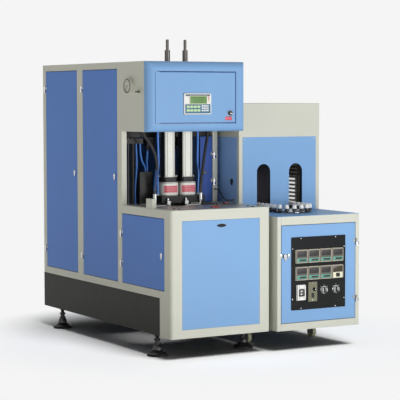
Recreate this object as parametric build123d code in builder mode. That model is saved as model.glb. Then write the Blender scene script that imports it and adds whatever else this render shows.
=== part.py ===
from build123d import *
from math import atan2, cos, degrees, pi, radians, sin
import os

os.makedirs("parts", exist_ok=True)

# Semi-automatic stretch blow moulding machine: a blowing unit with two blow
# heads, and the preform heater docked at its right side. Millimetres, +X to
# the right as the operator sees it, +Y to the back, +Z up. The origin is the
# middle of the sole of the blowing unit's front left levelling foot.

# Blowing unit, overall
unit_width = 740
unit_depth = 1920
unit_height = 1900
tall_front = 670          # the tall cabinet starts this far behind the front
table_height = 955
plinth_bottom = 145
plinth_top = 390
plinth_setback = 147
front_skirt_bottom = 140

# Levelling feet
foot_inset_x = 45
foot_setback = 266
foot_rear_inset = 215
foot_pad_diameter = 132
foot_pad_rim = 14
foot_pad_height = 42
foot_neck_diameter = 44
foot_stud_diameter = 24
foot_nut_width = 36
foot_nut_height = 16

# Welded frame of the blowing unit
tube = 40
tube_radius = 4
column_width = 81
column_depth = 85
column_radius = 22
tall_post_depth = 65
mid_post_front = 1260
mid_post_depth = 90
rear_post_depth = 50
sill_height = 55
front_rail_top = 68
skirt_rail = 55
side_rail = 47
top_rail = 44

# Sheet metal
sheet = 2
panel_gap = 3             # gap all round a door or a set-in panel
door_depth = 20
panel_radius = 3

# Head over the table
head_front = 300
head_cover_depth = 50
head_bevel = 46
head_bottom = 1443
control_door_left = 57
control_door_width = 603
control_door_bottom = 1497
control_door_height = 335
control_door_flange = 12
arm_tube = 30

# Controller on the control door
controller_left = 264
controller_width = 204
controller_bottom = 1555
controller_height = 137
controller_depth = 34
controller_rim = 9
controller_proud = 8
control_knob_x = 614
control_knob_z = 1563
control_knob_diameter = 30

# Hinges and locks
hinge_barrel = 14
hinge_pin = 7
hinge_knuckle = 22
hinge_leaf = 24
hinge_leaf_height = 40
hinge_from_edge = 8
hinge_stand_off = 0.5
running_gap = 0.05        # radial, pins and shafts in their bores
face_gap = 0.3            # between faces that slide or turn past each other
lock_from_edge = 28
lock_head = 26
lock_tip = 12
lock_length = 26
lock_thickness = 8
lock_shaft = 10
lock_tongue = 16
door_hinge_inset = 130
low_hinge_share = 0.2845   # of the lower door's height

# Blow heads
head_pitch = 135
head_axis_setback = 587
barrel_side = 76
barrel_radius = 12
barrel_bore = 63
barrel_above_table = 181
barrel_below_top = 85
collar_width = 98
collar_height = 33
collar_radius = 16
seal_diameter = 116
seal_height = 90
seal_bore = 100
head_plate_width = 330
head_plate_shift = 12
head_plate_depth = 150
head_plate_height = 48
tail_sleeve_diameter = 36
tail_sleeve_rise = 80
tail_rod_diameter = 20
tail_rod_rise = 150
stretch_rod_diameter = 12
piston_height = 24
nozzle_rod_diameter = 56
nozzle_bore = 22
nozzle_tip_diameter = 70
nozzle_tip_height = 34
nozzle_end_taper = 8

# Table and mould well
table_thickness = 12
well_front = 400
well_width = 480

# Mould clamp under the table
platen_width = 500
platen_lift = 80          # over the plinth
platen_share = 0.584      # of the height from the plinth to the table
platen_thickness = 36
front_platen_setback = 300
moving_platen_setback = 880
rear_platen_setback = 1240
tie_bar_diameter = 36
tie_bar_inset = 45
clamp_bore = 125
clamp_rod_diameter = 45
clamp_barrel_length = 300

# Gauge and air valve on the head's left side
gauge_setback = 533
gauge_height = 1741
gauge_diameter = 95
gauge_depth = 30
gauge_bezel = 7
valve_setback = 419
valve_height = 1702

# Heater unit, overall
unit_gap = 30
heater_width = 653
heater_lead = 39          # the heater stands this far ahead of the front
heater_depth = 1790
cabinet_bottom = 139
cabinet_height = 888
oven_setback = 438
oven_height = 1625
oven_band = 228
heater_tube = 30
heater_radius = 4
heater_top_rail = 55
heater_foot_rail = 47

# Oven arches, chain and lamps
chain_pitch = 50.8
sprocket_teeth = 16
arch_width = 108
arch_top = 1213
chain_setback = 300       # axis of the front sprocket
links_per_side = 22
chain_height = 14
holder_diameter = 32
holder_height = 42
lamp_diameter = 12
lamp_pitch = 27
lamps_per_wall = 7
lamp_first_rise = 48
lamp_length = 900

# Controls on the heater door
plate_width = 430
plate_height = 481
plate_from_left = 107
plate_lift = 270
plate_thickness = 4
meter_width = 88
meter_height = 84
meter_pitch = 95.5
meter_row_pitch = 113
meter_from_left = 140
meter_top = 665
meter_depth = 9

# Castors
castor_inset = 62
castor_setback = 405
castor_rear_inset = 150
wheel_diameter = 80
wheel_width = 28
castor_trail = 28
castor_axle = 10
fork_plate = 4

# Planes that everything is set from
left = -foot_inset_x
right = left + unit_width
front = -foot_setback
back = front + unit_depth
tall = front + tall_front
middle = (left + right) / 2
head_front_y = front + head_front
head_back_y = head_front_y + head_cover_depth
head_y = front + head_axis_setback
head_xs = [middle - head_pitch / 2, middle + head_pitch / 2]
h_left = right + unit_gap
h_right = h_left + heater_width
h_front = front - heater_lead
h_back = h_front + heater_depth
oven_y = front + oven_setback
h_middle = (h_left + h_right) / 2
sprocket_radius = chain_pitch / 2 / sin(pi / sprocket_teeth)

barrel_bottom = table_height + barrel_above_table
barrel_top = unit_height - barrel_below_top
tail_sleeve_top = unit_height + tail_sleeve_rise
tail_rod_top = unit_height + tail_rod_rise
platen_bottom = plinth_top + platen_lift
platen_height = round(platen_share * (table_height - plinth_top))
lamp_first = cabinet_height + lamp_first_rise


def block(x0, x1, y0, y1, z0, z1, radius=0, axis=Axis.Z):
    """A straight bar or plate between three pairs of planes, its long edges
    along the axis rounded where a radius is given."""
    with BuildPart() as piece:
        with BuildSketch(Plane.XY.offset(z0)):
            with Locations(((x0 + x1) / 2, (y0 + y1) / 2)):
                Rectangle(x1 - x0, y1 - y0)
        extrude(amount=z1 - z0)
        if radius > 0:
            fillet(piece.edges().filter_by(axis), radius)
    return piece.part


def rod(x, y, z0, z1, diameter, bore=0):
    """An upright round bar, or a tube where a bore is given."""
    with BuildPart() as piece:
        with BuildSketch(Plane.XY.offset(z0)):
            with Locations((x, y)):
                Circle(diameter / 2)
                if bore > 0:
                    Circle(bore / 2, mode=Mode.SUBTRACT)
        extrude(amount=z1 - z0)
    return piece.part


def keep(shape, label):
    """Names one piece and writes it."""
    shape.label = label
    export_step(shape, f"parts/{label}.step")


def keep_group(solids, label):
    """Names a set of separate like pieces and writes them together."""
    keep(Compound(children=solids), label)


def mirrored(solids, about):
    """The solids and their mirror images about an upright plane across X."""
    plane = Plane.YZ.offset(about)
    return solids + [solid.mirror(plane) for solid in solids]


def tray(length, height, flange=door_depth, radius=panel_radius):
    """A sheet-metal door lying face down at the origin: its outer face at
    z = 0, its length along X from 0, its height along Y from 0, and its edges
    turned up by the flange."""
    with BuildPart() as door:
        with BuildSketch():
            Rectangle(length, height, align=(Align.MIN, Align.MIN))
        extrude(amount=flange)
        fillet(door.faces().sort_by(Axis.Z)[0].edges(), min(radius, sheet * 1.5))
        inside = door.faces().sort_by(Axis.Z)[-1]
        offset(amount=-sheet, openings=inside)
    return door


def bored(door, places, diameter):
    """The tray with a round hole through its face at each place."""
    with BuildPart() as holed:
        add(door)
        with BuildSketch():
            with Locations(*places):
                Circle(diameter / 2)
        extrude(amount=sheet, mode=Mode.SUBTRACT)
    return holed.part


# Planes in which trays stand: X runs along the door, Y runs up, and Z into the
# machine. A left-side door runs from its lock edge at the front to its hinges.
def side_plane(x, y, z):
    """The plane of a door on a left side, seen from outside."""
    return Plane(origin=(x, y, z), x_dir=(0, 1, 0), z_dir=(1, 0, 0))


def front_plane(x, y, z):
    """The plane of a door on a front, its Z pointing into the machine."""
    return Plane(origin=(x, y, z), x_dir=(-1, 0, 0), z_dir=(0, 1, 0))


def hinge_half(upper, toward):
    """Half of a lift-off hinge about the Z axis, standing off a door face on
    the +Y side: the lower half's leaf reaches toward the post, and the upper
    half's, which the door carries, the other way."""
    stand = hinge_barrel / 2 + hinge_stand_off
    base = face_gap / 2 if upper else -hinge_knuckle - face_gap / 2
    reach = -toward if upper else toward
    leaf_base = base if upper else base + hinge_knuckle - hinge_leaf_height / 2
    with BuildPart() as half:
        with BuildSketch(Plane.XY.offset(base)):
            Circle(hinge_barrel / 2)
        extrude(amount=hinge_knuckle)
        with BuildSketch(Plane.XY.offset(leaf_base)):
            with Locations((reach * hinge_leaf / 2, stand - sheet / 2)):
                Rectangle(hinge_leaf, sheet)
        extrude(amount=hinge_leaf_height / 2)
        if upper:
            with BuildSketch(Plane.XY.offset(base)):
                Circle(hinge_pin / 2 + running_gap)
            extrude(amount=hinge_knuckle * 0.8, mode=Mode.SUBTRACT)
        else:
            with BuildSketch(Plane.XY.offset(base + hinge_knuckle)):
                Circle(hinge_pin / 2)
            extrude(amount=hinge_knuckle * 0.75)
    return half.part


def hinge_places(x, y, door_bottom, door_top, inward, inset=door_hinge_inset):
    """The frames of a door's two hinges, Z up and Y into the machine."""
    across = Vector(*inward).cross(Vector(0, 0, 1))
    heights = (door_bottom + inset, door_top - inset)
    return [Plane(origin=(x, y, z), x_dir=across, z_dir=(0, 0, 1)) for z in heights]


def teardrop_lock(reach, tongue):
    """A quarter-turn lock along +Z: the teardrop head lies outside z = 0, the
    shaft goes in, and the tongue hangs on its inner end."""
    with BuildPart() as lock:
        with BuildSketch(Plane.XY.offset(-lock_thickness - face_gap)):
            Circle(lock_head / 2)
            with Locations((0, -lock_length)):
                Circle(lock_tip / 2)
            make_hull()
        extrude(amount=lock_thickness)
        fillet(lock.faces().sort_by(Axis.Z)[0].edges(), 2)
        with BuildSketch(Plane.XY.offset(-face_gap)):
            Circle(lock_shaft / 2)
        extrude(amount=reach + sheet + face_gap)
        with BuildSketch(Plane.XY.offset(reach)):
            with Locations((0, -tongue / 2)):
                Rectangle(lock_tongue, tongue + lock_tongue)
        extrude(amount=sheet * 1.5)
    return lock.part


# Welded frame of the blowing unit
door_z0 = plinth_top + side_rail
sill_bottom = table_height - sill_height
top_z = unit_height - top_rail
mid_y = front + mid_post_front
inner = left + tube
far = right - tube

frame_bars = [
    block(left, inner, front + column_depth, front + plinth_setback,
          front_skirt_bottom, door_z0),
    block(left, inner, front + plinth_setback, tall, plinth_top, door_z0),
    block(left, inner, front + column_depth, tall, sill_bottom, table_height, tube_radius, Axis.Y),
    block(left, inner, tall, tall + tall_post_depth, plinth_top, unit_height, tube_radius),
    block(left, inner, mid_y, mid_y + mid_post_depth, door_z0, top_z, tube_radius),
    block(left, inner, back - rear_post_depth, back, plinth_top, unit_height, tube_radius),
    block(left, inner, tall + tall_post_depth, back - rear_post_depth, plinth_top, door_z0),
    block(left, inner, tall + tall_post_depth, back - rear_post_depth, top_z, unit_height),
    block(left + sheet, left + sheet + arm_tube, head_back_y, tall,
          head_bottom, head_bottom + arm_tube),
    block(left + sheet, left + sheet + arm_tube, head_back_y, tall,
          unit_height - sheet - arm_tube, unit_height - sheet),
]

with BuildPart() as column:
    with BuildSketch(Plane.XY.offset(front_skirt_bottom)):
        with Locations((left + column_width / 2, front + column_depth / 2)):
            Rectangle(column_width, column_depth)
    extrude(amount=table_height - front_skirt_bottom)
    corner = column.edges().filter_by(Axis.Z).group_by(Axis.Y)[0].sort_by(Axis.X)[0]
    fillet(corner, column_radius)
frame_bars.append(column.part)
frame_bars = mirrored(frame_bars, middle)

column_inner = left + column_width
column_far = right - column_width
cross_rails = [
    (column_inner, column_far, front, front + tube, front_skirt_bottom,
     front_skirt_bottom + skirt_rail),
    (column_inner, column_far, front, front + tube, table_height - front_rail_top, table_height),
    (inner, far, tall, tall + tube, sill_bottom, table_height),
    (inner, far, tall, tall + tube, top_z, unit_height - sheet),
    (inner, far, back - tube, back, plinth_top, door_z0),
    (inner, far, back - tube, back, top_z, unit_height - sheet),
    (left + sheet + arm_tube, right - sheet - arm_tube, head_back_y, head_back_y + arm_tube,
     unit_height - sheet - arm_tube, unit_height - sheet),
]
frame_bars += [block(*planes) for planes in cross_rails]
# Beam that carries the blow heads on the head's lower arms
beam_thickness = 20
beam_depth = 150
beam_bottom = head_bottom + arm_tube
with BuildPart() as head_beam:
    with BuildSketch(Plane.XY.offset(beam_bottom)):
        with Locations((middle, head_y)):
            Rectangle(unit_width - 2 * sheet, beam_depth)
        with Locations(*[(x, head_y) for x in head_xs]):
            RectangleRounded(
                barrel_side + 2 * face_gap,
                barrel_side + 2 * face_gap,
                barrel_radius + face_gap,
                mode=Mode.SUBTRACT,
            )
    extrude(amount=beam_thickness)
post_setback = 254
post_depth = 83
post_height = 60
small_post = block(left + 5, left + tube - 5, front + post_setback, front + post_setback + post_depth,
                   table_height, table_height + post_height)
keep_group(frame_bars + [head_beam.part, small_post], "main_frame")

# Black base under the frame, with a foot plate at each corner
base_wall = 12
foot_ys = [0, back - foot_rear_inset]
foot_xs = [0, unit_width - 2 * foot_inset_x]
base_y = front + plinth_setback
base_bars = [
    block(left, left + base_wall, base_y, back, plinth_bottom, plinth_top),
    block(right - base_wall, right, base_y, back, plinth_bottom, plinth_top),
    block(left + base_wall, right - base_wall, base_y, base_y + base_wall,
          plinth_bottom, plinth_top),
    block(left + base_wall, right - base_wall, back - base_wall, back,
          plinth_bottom, plinth_top),
]
stud_gap = 0.1
for foot_y in foot_ys:
    with BuildPart() as foot_beam:
        with BuildSketch(Plane.XY.offset(plinth_bottom)):
            with Locations((middle, foot_y)):
                Rectangle(unit_width - 2 * base_wall, foot_pad_diameter)
            with Locations(*[(x, foot_y) for x in foot_xs]):
                Circle(foot_stud_diameter / 2 + stud_gap, mode=Mode.SUBTRACT)
        extrude(amount=base_wall)
    base_bars.append(foot_beam.part)
keep_group(base_bars, "base_plinth")

feet = []
for foot_y in foot_ys:
    for foot_x in foot_xs:
        with BuildPart() as foot:
            with BuildSketch(Plane.XZ):
                with BuildLine():
                    Polyline(
                        (0, 0),
                        (foot_pad_diameter / 2, 0),
                        (foot_pad_diameter / 2, foot_pad_rim),
                    )
                    Line((foot_pad_diameter / 2, foot_pad_rim), (foot_neck_diameter / 2, foot_pad_height))
                    Polyline(
                        (foot_neck_diameter / 2, foot_pad_height),
                        (foot_stud_diameter / 2, foot_pad_height),
                        (foot_stud_diameter / 2, plinth_bottom + base_wall + foot_nut_height),
                        (0, plinth_bottom + base_wall + foot_nut_height),
                        (0, 0),
                    )
                make_face()
            revolve(axis=Axis.Z)
            with BuildSketch(Plane.XY.offset(plinth_bottom - foot_nut_height)):
                RegularPolygon(foot_nut_width / 2, 6)
            extrude(amount=foot_nut_height)
        feet.append(Pos(foot_x, foot_y, 0) * foot.part)
keep_group(feet, "levelling_feet")

# Blue front panel with its oval finger pull
pull_width = 46
pull_height = 18
pull_drop = 38
with BuildPart() as front_panel:
    with BuildSketch(Plane.XZ.offset(-front)):
        with Locations((middle, (front_skirt_bottom + skirt_rail + table_height - front_rail_top) / 2)):
            Rectangle(
                unit_width - 2 * column_width - 2 * face_gap,
                table_height - front_rail_top - front_skirt_bottom - skirt_rail - 2 * face_gap,
            )
    extrude(amount=-tube)
    fillet(front_panel.faces().sort_by(Axis.Y)[0].edges(), panel_radius)
    offset(amount=-sheet, openings=front_panel.faces().sort_by(Axis.Y)[-1])
    with BuildSketch(Plane.XZ.offset(-front)):
        with Locations((middle + face_gap, table_height - front_rail_top - pull_drop)):
            SlotOverall(pull_width, pull_height)
    extrude(amount=-sheet, mode=Mode.SUBTRACT)
keep(front_panel.part, "front_panel")

# Table plate with the mould well behind it
with BuildPart() as table_plate:
    with BuildSketch(Plane.XY.offset(table_height - table_thickness)):
        with Locations((middle, (front + tube + tall) / 2)):
            Rectangle(unit_width - 2 * tube, tall_front - tube)
        with Locations((middle, (front + well_front + tall) / 2)):
            Rectangle(well_width, tall_front - well_front, mode=Mode.SUBTRACT)
        for corner_x in (column_inner, column_far):
            with Locations((corner_x, front + column_depth / 2)):
                Rectangle(2 * (column_width - tube), column_depth, mode=Mode.SUBTRACT)
    extrude(amount=table_thickness)
keep(table_plate.part, "table_plate")

# Doors of the blowing unit's left side, their hinges and locks
hinge_stand = hinge_barrel / 2 + hinge_stand_off
lock_reach = tube + sheet / 2
column_reach = column_width + sheet / 2
lock_reach_past = lock_from_edge + panel_gap
lock_hole = lock_shaft + 2 * running_gap
hinge_fixed = []

side_doors = [
    ("rear_tall_door", mid_y + mid_post_depth, back - rear_post_depth, door_z0, top_z, lock_reach,
     door_hinge_inset),
    ("front_tall_door", tall + tall_post_depth, mid_y, door_z0, top_z, lock_reach, door_hinge_inset),
    ("lower_door", front + column_depth, tall, door_z0, sill_bottom, column_reach,
     low_hinge_share * (sill_bottom - door_z0 - 2 * panel_gap)),
]
for label, y0, y1, z0, z1, reach, inset in side_doors:
    door_y = y0 + panel_gap
    door_bottom = z0 + panel_gap
    length = y1 - y0 - 2 * panel_gap
    height = z1 - z0 - 2 * panel_gap
    lock_place = (lock_from_edge, height / 2)
    leaf = bored(tray(length, height).part, [lock_place], lock_hole)
    face = side_plane(left, door_y, door_bottom)
    hinges = hinge_places(
        left - hinge_stand, y1 - panel_gap + hinge_from_edge,
        door_bottom, door_bottom + height, (1, 0, 0), inset
    )
    hinge_fixed += [plane.location * hinge_half(False, -1) for plane in hinges]
    knuckles = [plane.location * hinge_half(True, -1) for plane in hinges]
    keep_group([face.location * leaf] + knuckles, label)
    lock = teardrop_lock(reach, lock_reach_past)
    keep(face.location * Pos(*lock_place, 0) * lock, label + "_lock")

# Blue bevelled head cover, hollow, with the control door's opening
with BuildPart() as head_cover:
    with BuildSketch(Plane.XZ.offset(-head_back_y)):
        with Locations((middle, (head_bottom + unit_height) / 2)):
            Rectangle(unit_width, unit_height - head_bottom)
    extrude(amount=head_cover_depth)
    fillet(head_cover.faces().sort_by(Axis.Y)[0].edges(), head_bevel)
    offset(amount=-sheet, openings=head_cover.faces().sort_by(Axis.Y)[-1])
    with BuildSketch(Plane.XZ.offset(-head_front_y)):
        with Locations((
            left + control_door_left + control_door_width / 2,
            control_door_bottom + control_door_height / 2,
        )):
            Rectangle(control_door_width + 2 * panel_gap, control_door_height + 2 * panel_gap)
    extrude(amount=-sheet, mode=Mode.SUBTRACT)
keep(head_cover.part, "head_cover")

# Control door, hung on two short pins behind its left edge
control_pin = 5
pin_from_edge = 5
pin_behind = 9
pin_block = 14
knob_shaft = 9
control_left = left + control_door_left
control_top = control_door_bottom + control_door_height
pin_x = control_left + pin_from_edge
pin_y = head_front_y + pin_behind
controller_x = left + controller_left + controller_width / 2
controller_z = controller_bottom + controller_height / 2
with BuildPart() as control_door:
    add(
        front_plane(control_left + control_door_width, head_front_y, control_door_bottom).location
        * tray(control_door_width, control_door_height, control_door_flange, sheet / 2).part
    )
    with BuildSketch(Plane.XZ.offset(-head_front_y)):
        with Locations((controller_x, controller_z)):
            Rectangle(
                controller_width - 2 * controller_rim + 2 * face_gap,
                controller_height - 2 * controller_rim + 2 * face_gap,
            )
        with Locations((left + control_knob_x, control_knob_z)):
            Circle(knob_shaft / 2 + running_gap)
    extrude(amount=-sheet, mode=Mode.SUBTRACT)
    with BuildSketch(Plane.XY.offset(control_door_bottom)):
        with Locations((pin_x, pin_y)):
            Circle(control_pin / 2 + running_gap)
    extrude(amount=control_door_height, mode=Mode.SUBTRACT)
keep(control_door.part, "control_door")

for base, rise in ((control_door_bottom - panel_gap, 1), (control_top + panel_gap, -1)):
    with BuildPart() as pin_bracket:
        with BuildSketch(Plane.XY.offset(base)):
            with Locations((pin_x, head_front_y + sheet + pin_block / 2)):
                Rectangle(pin_block, pin_block)
        extrude(amount=-rise * 2 * sheet)
        with BuildSketch(Plane.XY.offset(base)):
            with Locations((pin_x, pin_y)):
                Circle(control_pin / 2)
        extrude(amount=rise * (panel_gap + 3 * sheet))
    hinge_fixed.append(pin_bracket.part)

# Controller set through the control door, with a raised rim
with BuildPart() as controller:
    with BuildSketch(Plane.XZ.offset(-head_front_y)):
        with Locations((controller_x, controller_z)):
            RectangleRounded(controller_width, controller_height, controller_rim)
    extrude(amount=controller_proud)
    fillet(controller.faces().sort_by(Axis.Y)[0].edges(), controller_proud / 4)
    with BuildSketch(Plane.XZ.offset(-head_front_y + controller_proud)):
        with Locations((controller_x, controller_z)):
            Rectangle(
                controller_width - 2 * controller_rim, controller_height - 2 * controller_rim
            )
    extrude(amount=-controller_proud / 4, mode=Mode.SUBTRACT)
    with BuildSketch(Plane.XZ.offset(-head_front_y)):
        with Locations((controller_x, controller_z)):
            Rectangle(
                controller_width - 2 * controller_rim, controller_height - 2 * controller_rim
            )
    extrude(amount=-controller_depth)
keep(controller.part, "controller")

# Black knob of the control door's lock, with its cam behind the sheet
knob_height = 18
with BuildPart() as control_knob:
    with BuildSketch(Plane.XZ.offset(-head_front_y + face_gap)):
        Circle(control_knob_diameter / 2)
    extrude(amount=knob_height, taper=6)
    with BuildSketch(Plane.XZ.offset(-head_front_y + face_gap + knob_height / 2)):
        Rectangle(control_knob_diameter / 3, control_knob_diameter)
    extrude(amount=knob_height / 2 + sheet)
    with BuildSketch(Plane.XZ.offset(-head_front_y + face_gap)):
        Circle(knob_shaft / 2)
    extrude(amount=-control_door_flange - face_gap)
    with BuildSketch(Plane.XZ.offset(-head_front_y - control_door_flange)):
        with Locations((0, -knob_shaft)):
            Rectangle(knob_shaft, 3 * knob_shaft)
    extrude(amount=-sheet)
keep(Pos(left + control_knob_x, 0, control_knob_z) * control_knob.part, "control_door_knob")

# Beige head side sheets and the top sheet, with holes for the tail sleeves
with BuildPart() as top_sheet:
    with BuildSketch(Plane.XY.offset(unit_height - sheet)):
        with Locations((middle, (head_back_y + tall) / 2)):
            Rectangle(unit_width, tall - head_back_y)
        with Locations((middle, (tall + back) / 2)):
            Rectangle(unit_width - 2 * tube, back - tall)
        with Locations(*[(x, head_y) for x in head_xs]):
            Circle(tail_sleeve_diameter / 2 + face_gap, mode=Mode.SUBTRACT)
    extrude(amount=sheet)
head_sides = mirrored(
    [block(left, left + sheet, head_back_y, tall, head_bottom, unit_height - sheet)], middle
)
keep_group(head_sides + [top_sheet.part], "head_panels")

# Stretch cylinders: square barrels hung by a flange, tail sleeves on top
flange_side = 112
flange_thickness = 12
cap_thickness = 20
barrels = []
for x in head_xs:
    with BuildPart() as barrel:
        with BuildSketch(Plane.XY.offset(barrel_bottom)):
            with Locations((x, head_y)):
                RectangleRounded(barrel_side, barrel_side, barrel_radius)
        extrude(amount=barrel_top - barrel_bottom)
        with BuildSketch(Plane.XY.offset(beam_bottom + beam_thickness)):
            with Locations((x, head_y)):
                RectangleRounded(flange_side, flange_side, barrel_radius)
        extrude(amount=flange_thickness)
        with BuildSketch(Plane.XY.offset(barrel_top)):
            with Locations((x, head_y)):
                Circle(tail_sleeve_diameter / 2)
        extrude(amount=tail_sleeve_top - barrel_top)
        with BuildSketch(Plane.XY.offset(barrel_bottom)):
            with Locations((x, head_y)):
                Circle(barrel_bore / 2)
        extrude(amount=barrel_top - cap_thickness - barrel_bottom, mode=Mode.SUBTRACT)
        with BuildSketch(Plane.XY.offset(barrel_top - cap_thickness)):
            with Locations((x, head_y)):
                Circle(tail_rod_diameter / 2 + running_gap)
        extrude(amount=tail_sleeve_top - barrel_top + cap_thickness, mode=Mode.SUBTRACT)
    barrels.append(barrel.part)

# Seal cylinders under black collars, and the black plate that joins them
collar_bottom = barrel_bottom - collar_height
seal_bottom = collar_bottom - seal_height
plate_base = seal_bottom - head_plate_height
seal_radius = 28
collars = []
seals = []
for x in head_xs:
    with BuildPart() as collar:
        with BuildSketch(Plane.XY.offset(collar_bottom)):
            with Locations((x, head_y)):
                RectangleRounded(collar_width, collar_width, collar_radius)
                Circle(stretch_rod_diameter / 2 + running_gap, mode=Mode.SUBTRACT)
        extrude(amount=collar_height)
    collars.append(collar.part)
    with BuildPart() as seal:
        with BuildSketch(Plane.XY.offset(seal_bottom)):
            with Locations((x, head_y)):
                RectangleRounded(seal_diameter, seal_diameter, seal_radius)
                Circle(seal_bore / 2, mode=Mode.SUBTRACT)
        extrude(amount=seal_height)
    seals.append(seal.part)
plate_x = middle + head_plate_shift
with BuildPart() as head_plate:
    with BuildSketch(Plane.XY.offset(plate_base)):
        with Locations((plate_x, head_y)):
            RectangleRounded(head_plate_width, head_plate_depth, panel_radius)
        with Locations(*[(x, head_y) for x in head_xs]):
            Circle(nozzle_rod_diameter / 2 + running_gap, mode=Mode.SUBTRACT)
    extrude(amount=head_plate_height)
keep_group(collars + [head_plate.part], "head_blocks")
keep_group(barrels + seals, "blow_cylinders")

# Stretch rods: tail rod, piston and stretch rod in one; and the seal nozzles
rod_head_gap = 5
rod_tip = plate_base - nozzle_tip_height / 2
piston_top = barrel_top - cap_thickness - rod_head_gap
nozzle_piston_top = collar_bottom - face_gap
nozzle_tip_top = plate_base - face_gap
for side_name, x in zip(("left", "right"), head_xs):
    with BuildPart() as stretch_rod:
        with BuildSketch(Plane.XZ.offset(-head_y)):
            with BuildLine():
                Polyline(
                    (x, rod_tip),
                    (x + stretch_rod_diameter / 2, rod_tip),
                    (x + stretch_rod_diameter / 2, piston_top - piston_height),
                    (x + barrel_bore / 2 - running_gap, piston_top - piston_height),
                    (x + barrel_bore / 2 - running_gap, piston_top),
                    (x + tail_rod_diameter / 2, piston_top),
                    (x + tail_rod_diameter / 2, tail_rod_top - 2),
                    (x + tail_rod_diameter / 2 - 2, tail_rod_top),
                    (x, tail_rod_top),
                    (x, rod_tip),
                )
            make_face()
        revolve(axis=Axis((x, head_y, 0), (0, 0, 1)))
    keep(stretch_rod.part, f"stretch_rod_{side_name}")
    with BuildPart() as nozzle:
        with BuildSketch(Plane.XZ.offset(-head_y)):
            with BuildLine():
                Polyline(
                    (x + nozzle_bore / 2, nozzle_tip_top - nozzle_tip_height),
                    (x + nozzle_tip_diameter / 2 - nozzle_end_taper, nozzle_tip_top - nozzle_tip_height),
                    (x + nozzle_tip_diameter / 2, nozzle_tip_top - nozzle_tip_height + nozzle_end_taper),
                    (x + nozzle_tip_diameter / 2, nozzle_tip_top),
                    (x + nozzle_rod_diameter / 2, nozzle_tip_top),
                    (x + nozzle_rod_diameter / 2, nozzle_piston_top - piston_height),
                    (x + seal_bore / 2 - running_gap, nozzle_piston_top - piston_height),
                    (x + seal_bore / 2 - running_gap, nozzle_piston_top),
                    (x + nozzle_bore / 2, nozzle_piston_top),
                    (x + nozzle_bore / 2, nozzle_tip_top - nozzle_tip_height),
                )
            make_face()
        revolve(axis=Axis((x, head_y, 0), (0, 0, 1)))
    keep(nozzle.part, f"seal_nozzle_{side_name}")

# Mould clamp: two fixed platens joined by four tie bars, on two bed rails
front_platen_y = front + front_platen_setback
moving_platen_y = front + moving_platen_setback
rear_platen_y = front + rear_platen_setback
clamp_z = platen_bottom + platen_height / 2
bar_x = platen_width / 2 - tie_bar_inset
bar_z = platen_height / 2 - tie_bar_inset
bar_places = [(middle + i * bar_x, clamp_z + j * bar_z) for i in (-1, 1) for j in (-1, 1)]
bed_width = 60
cap_end = 20


def platen(y, base, bores):
    """A platen facing the front at y, with a bore at each (place, diameter)."""
    with BuildPart() as plate:
        with BuildSketch(Plane.XZ.offset(-y)):
            with Locations((middle, (base + platen_bottom + platen_height) / 2)):
                Rectangle(platen_width, platen_bottom + platen_height - base)
            for (x, z), diameter in bores:
                with Locations((x, z)):
                    Circle(diameter / 2, mode=Mode.SUBTRACT)
        extrude(amount=-platen_thickness)
    return plate


def along_y(x, z, y0, y1, diameter, bore=0):
    """A round bar or tube from front to back."""
    with BuildPart() as bar:
        with BuildSketch(Plane.XZ.offset(-y0)):
            with Locations((x, z)):
                Circle(diameter / 2)
                if bore > 0:
                    Circle(bore / 2, mode=Mode.SUBTRACT)
        extrude(amount=-(y1 - y0))
    return bar.part


barrel_y = rear_platen_y + platen_thickness
clamp_solids = [
    platen(front_platen_y, platen_bottom, []).part,
    platen(
        rear_platen_y, platen_bottom, [((middle, clamp_z), clamp_rod_diameter + 2 * running_gap)]
    ).part,
    along_y(middle, clamp_z, barrel_y, barrel_y + clamp_barrel_length, clamp_bore + cap_end, clamp_bore),
    along_y(middle, clamp_z, barrel_y + clamp_barrel_length,
            barrel_y + clamp_barrel_length + cap_end, clamp_bore + cap_end),
]
clamp_solids += [
    along_y(x, z, front_platen_y + platen_thickness, rear_platen_y, tie_bar_diameter)
    for x, z in bar_places
]
clamp_solids += [
    block(x - bed_width / 2, x + bed_width / 2, base_y, back - tube, plinth_top, platen_bottom)
    for x in (middle - bar_x, middle + bar_x)
]
keep_group(clamp_solids, "clamp_frame")

moving = platen(
    moving_platen_y,
    platen_bottom + face_gap,
    [(place, tie_bar_diameter + 2 * running_gap) for place in bar_places],
)
piston_y = barrel_y + clamp_barrel_length - piston_height - rod_head_gap
with BuildPart() as moving_platen:
    add(moving.part)
    add(along_y(middle, clamp_z, moving_platen_y + platen_thickness, piston_y, clamp_rod_diameter))
    add(along_y(middle, clamp_z, piston_y, piston_y + piston_height, clamp_bore - 2 * running_gap))
keep(moving_platen.part, "moving_platen")

# Valve bay behind the table: rail with two valves, pipe, bracket and box
rail_z = 1400
rail_height = 34
rail_y = tall + tall_post_depth - 24
valve_width = 60
valve_depth = 40
valve_xs = [left + 223, left + 432]
coupling = 22
pipe_x = left + 92
box_left = left + 136
box_width = 98
box_depth = 100
bracket_z = 1359
bracket_reach = 164
valve_bottom = rail_z - valve_width
box_share = 0.556         # of the height from the table to the valves
box_height = round(box_share * (valve_bottom - table_height))
bay = [
    block(inner, far, rail_y, rail_y + 20, rail_z, rail_z + rail_height),
    block(inner, left + bracket_reach, tall + 5, tall + 25, bracket_z, bracket_z + rail_height),
    rod(pipe_x, tall + 15, table_height, bracket_z, coupling),
    block(box_left, box_left + box_width, tall + 2, tall + 2 + box_depth,
          table_height, table_height + box_height, 4),
]
for x in valve_xs:
    bay.append(block(x - valve_width / 2, x + valve_width / 2, rail_y - valve_depth, rail_y + 20,
                     valve_bottom, rail_z, 3))
    bay.append(rod(x - 15, rail_y - valve_depth / 2, valve_bottom - 30, valve_bottom, coupling))
keep_group(bay, "valve_bay")

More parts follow.
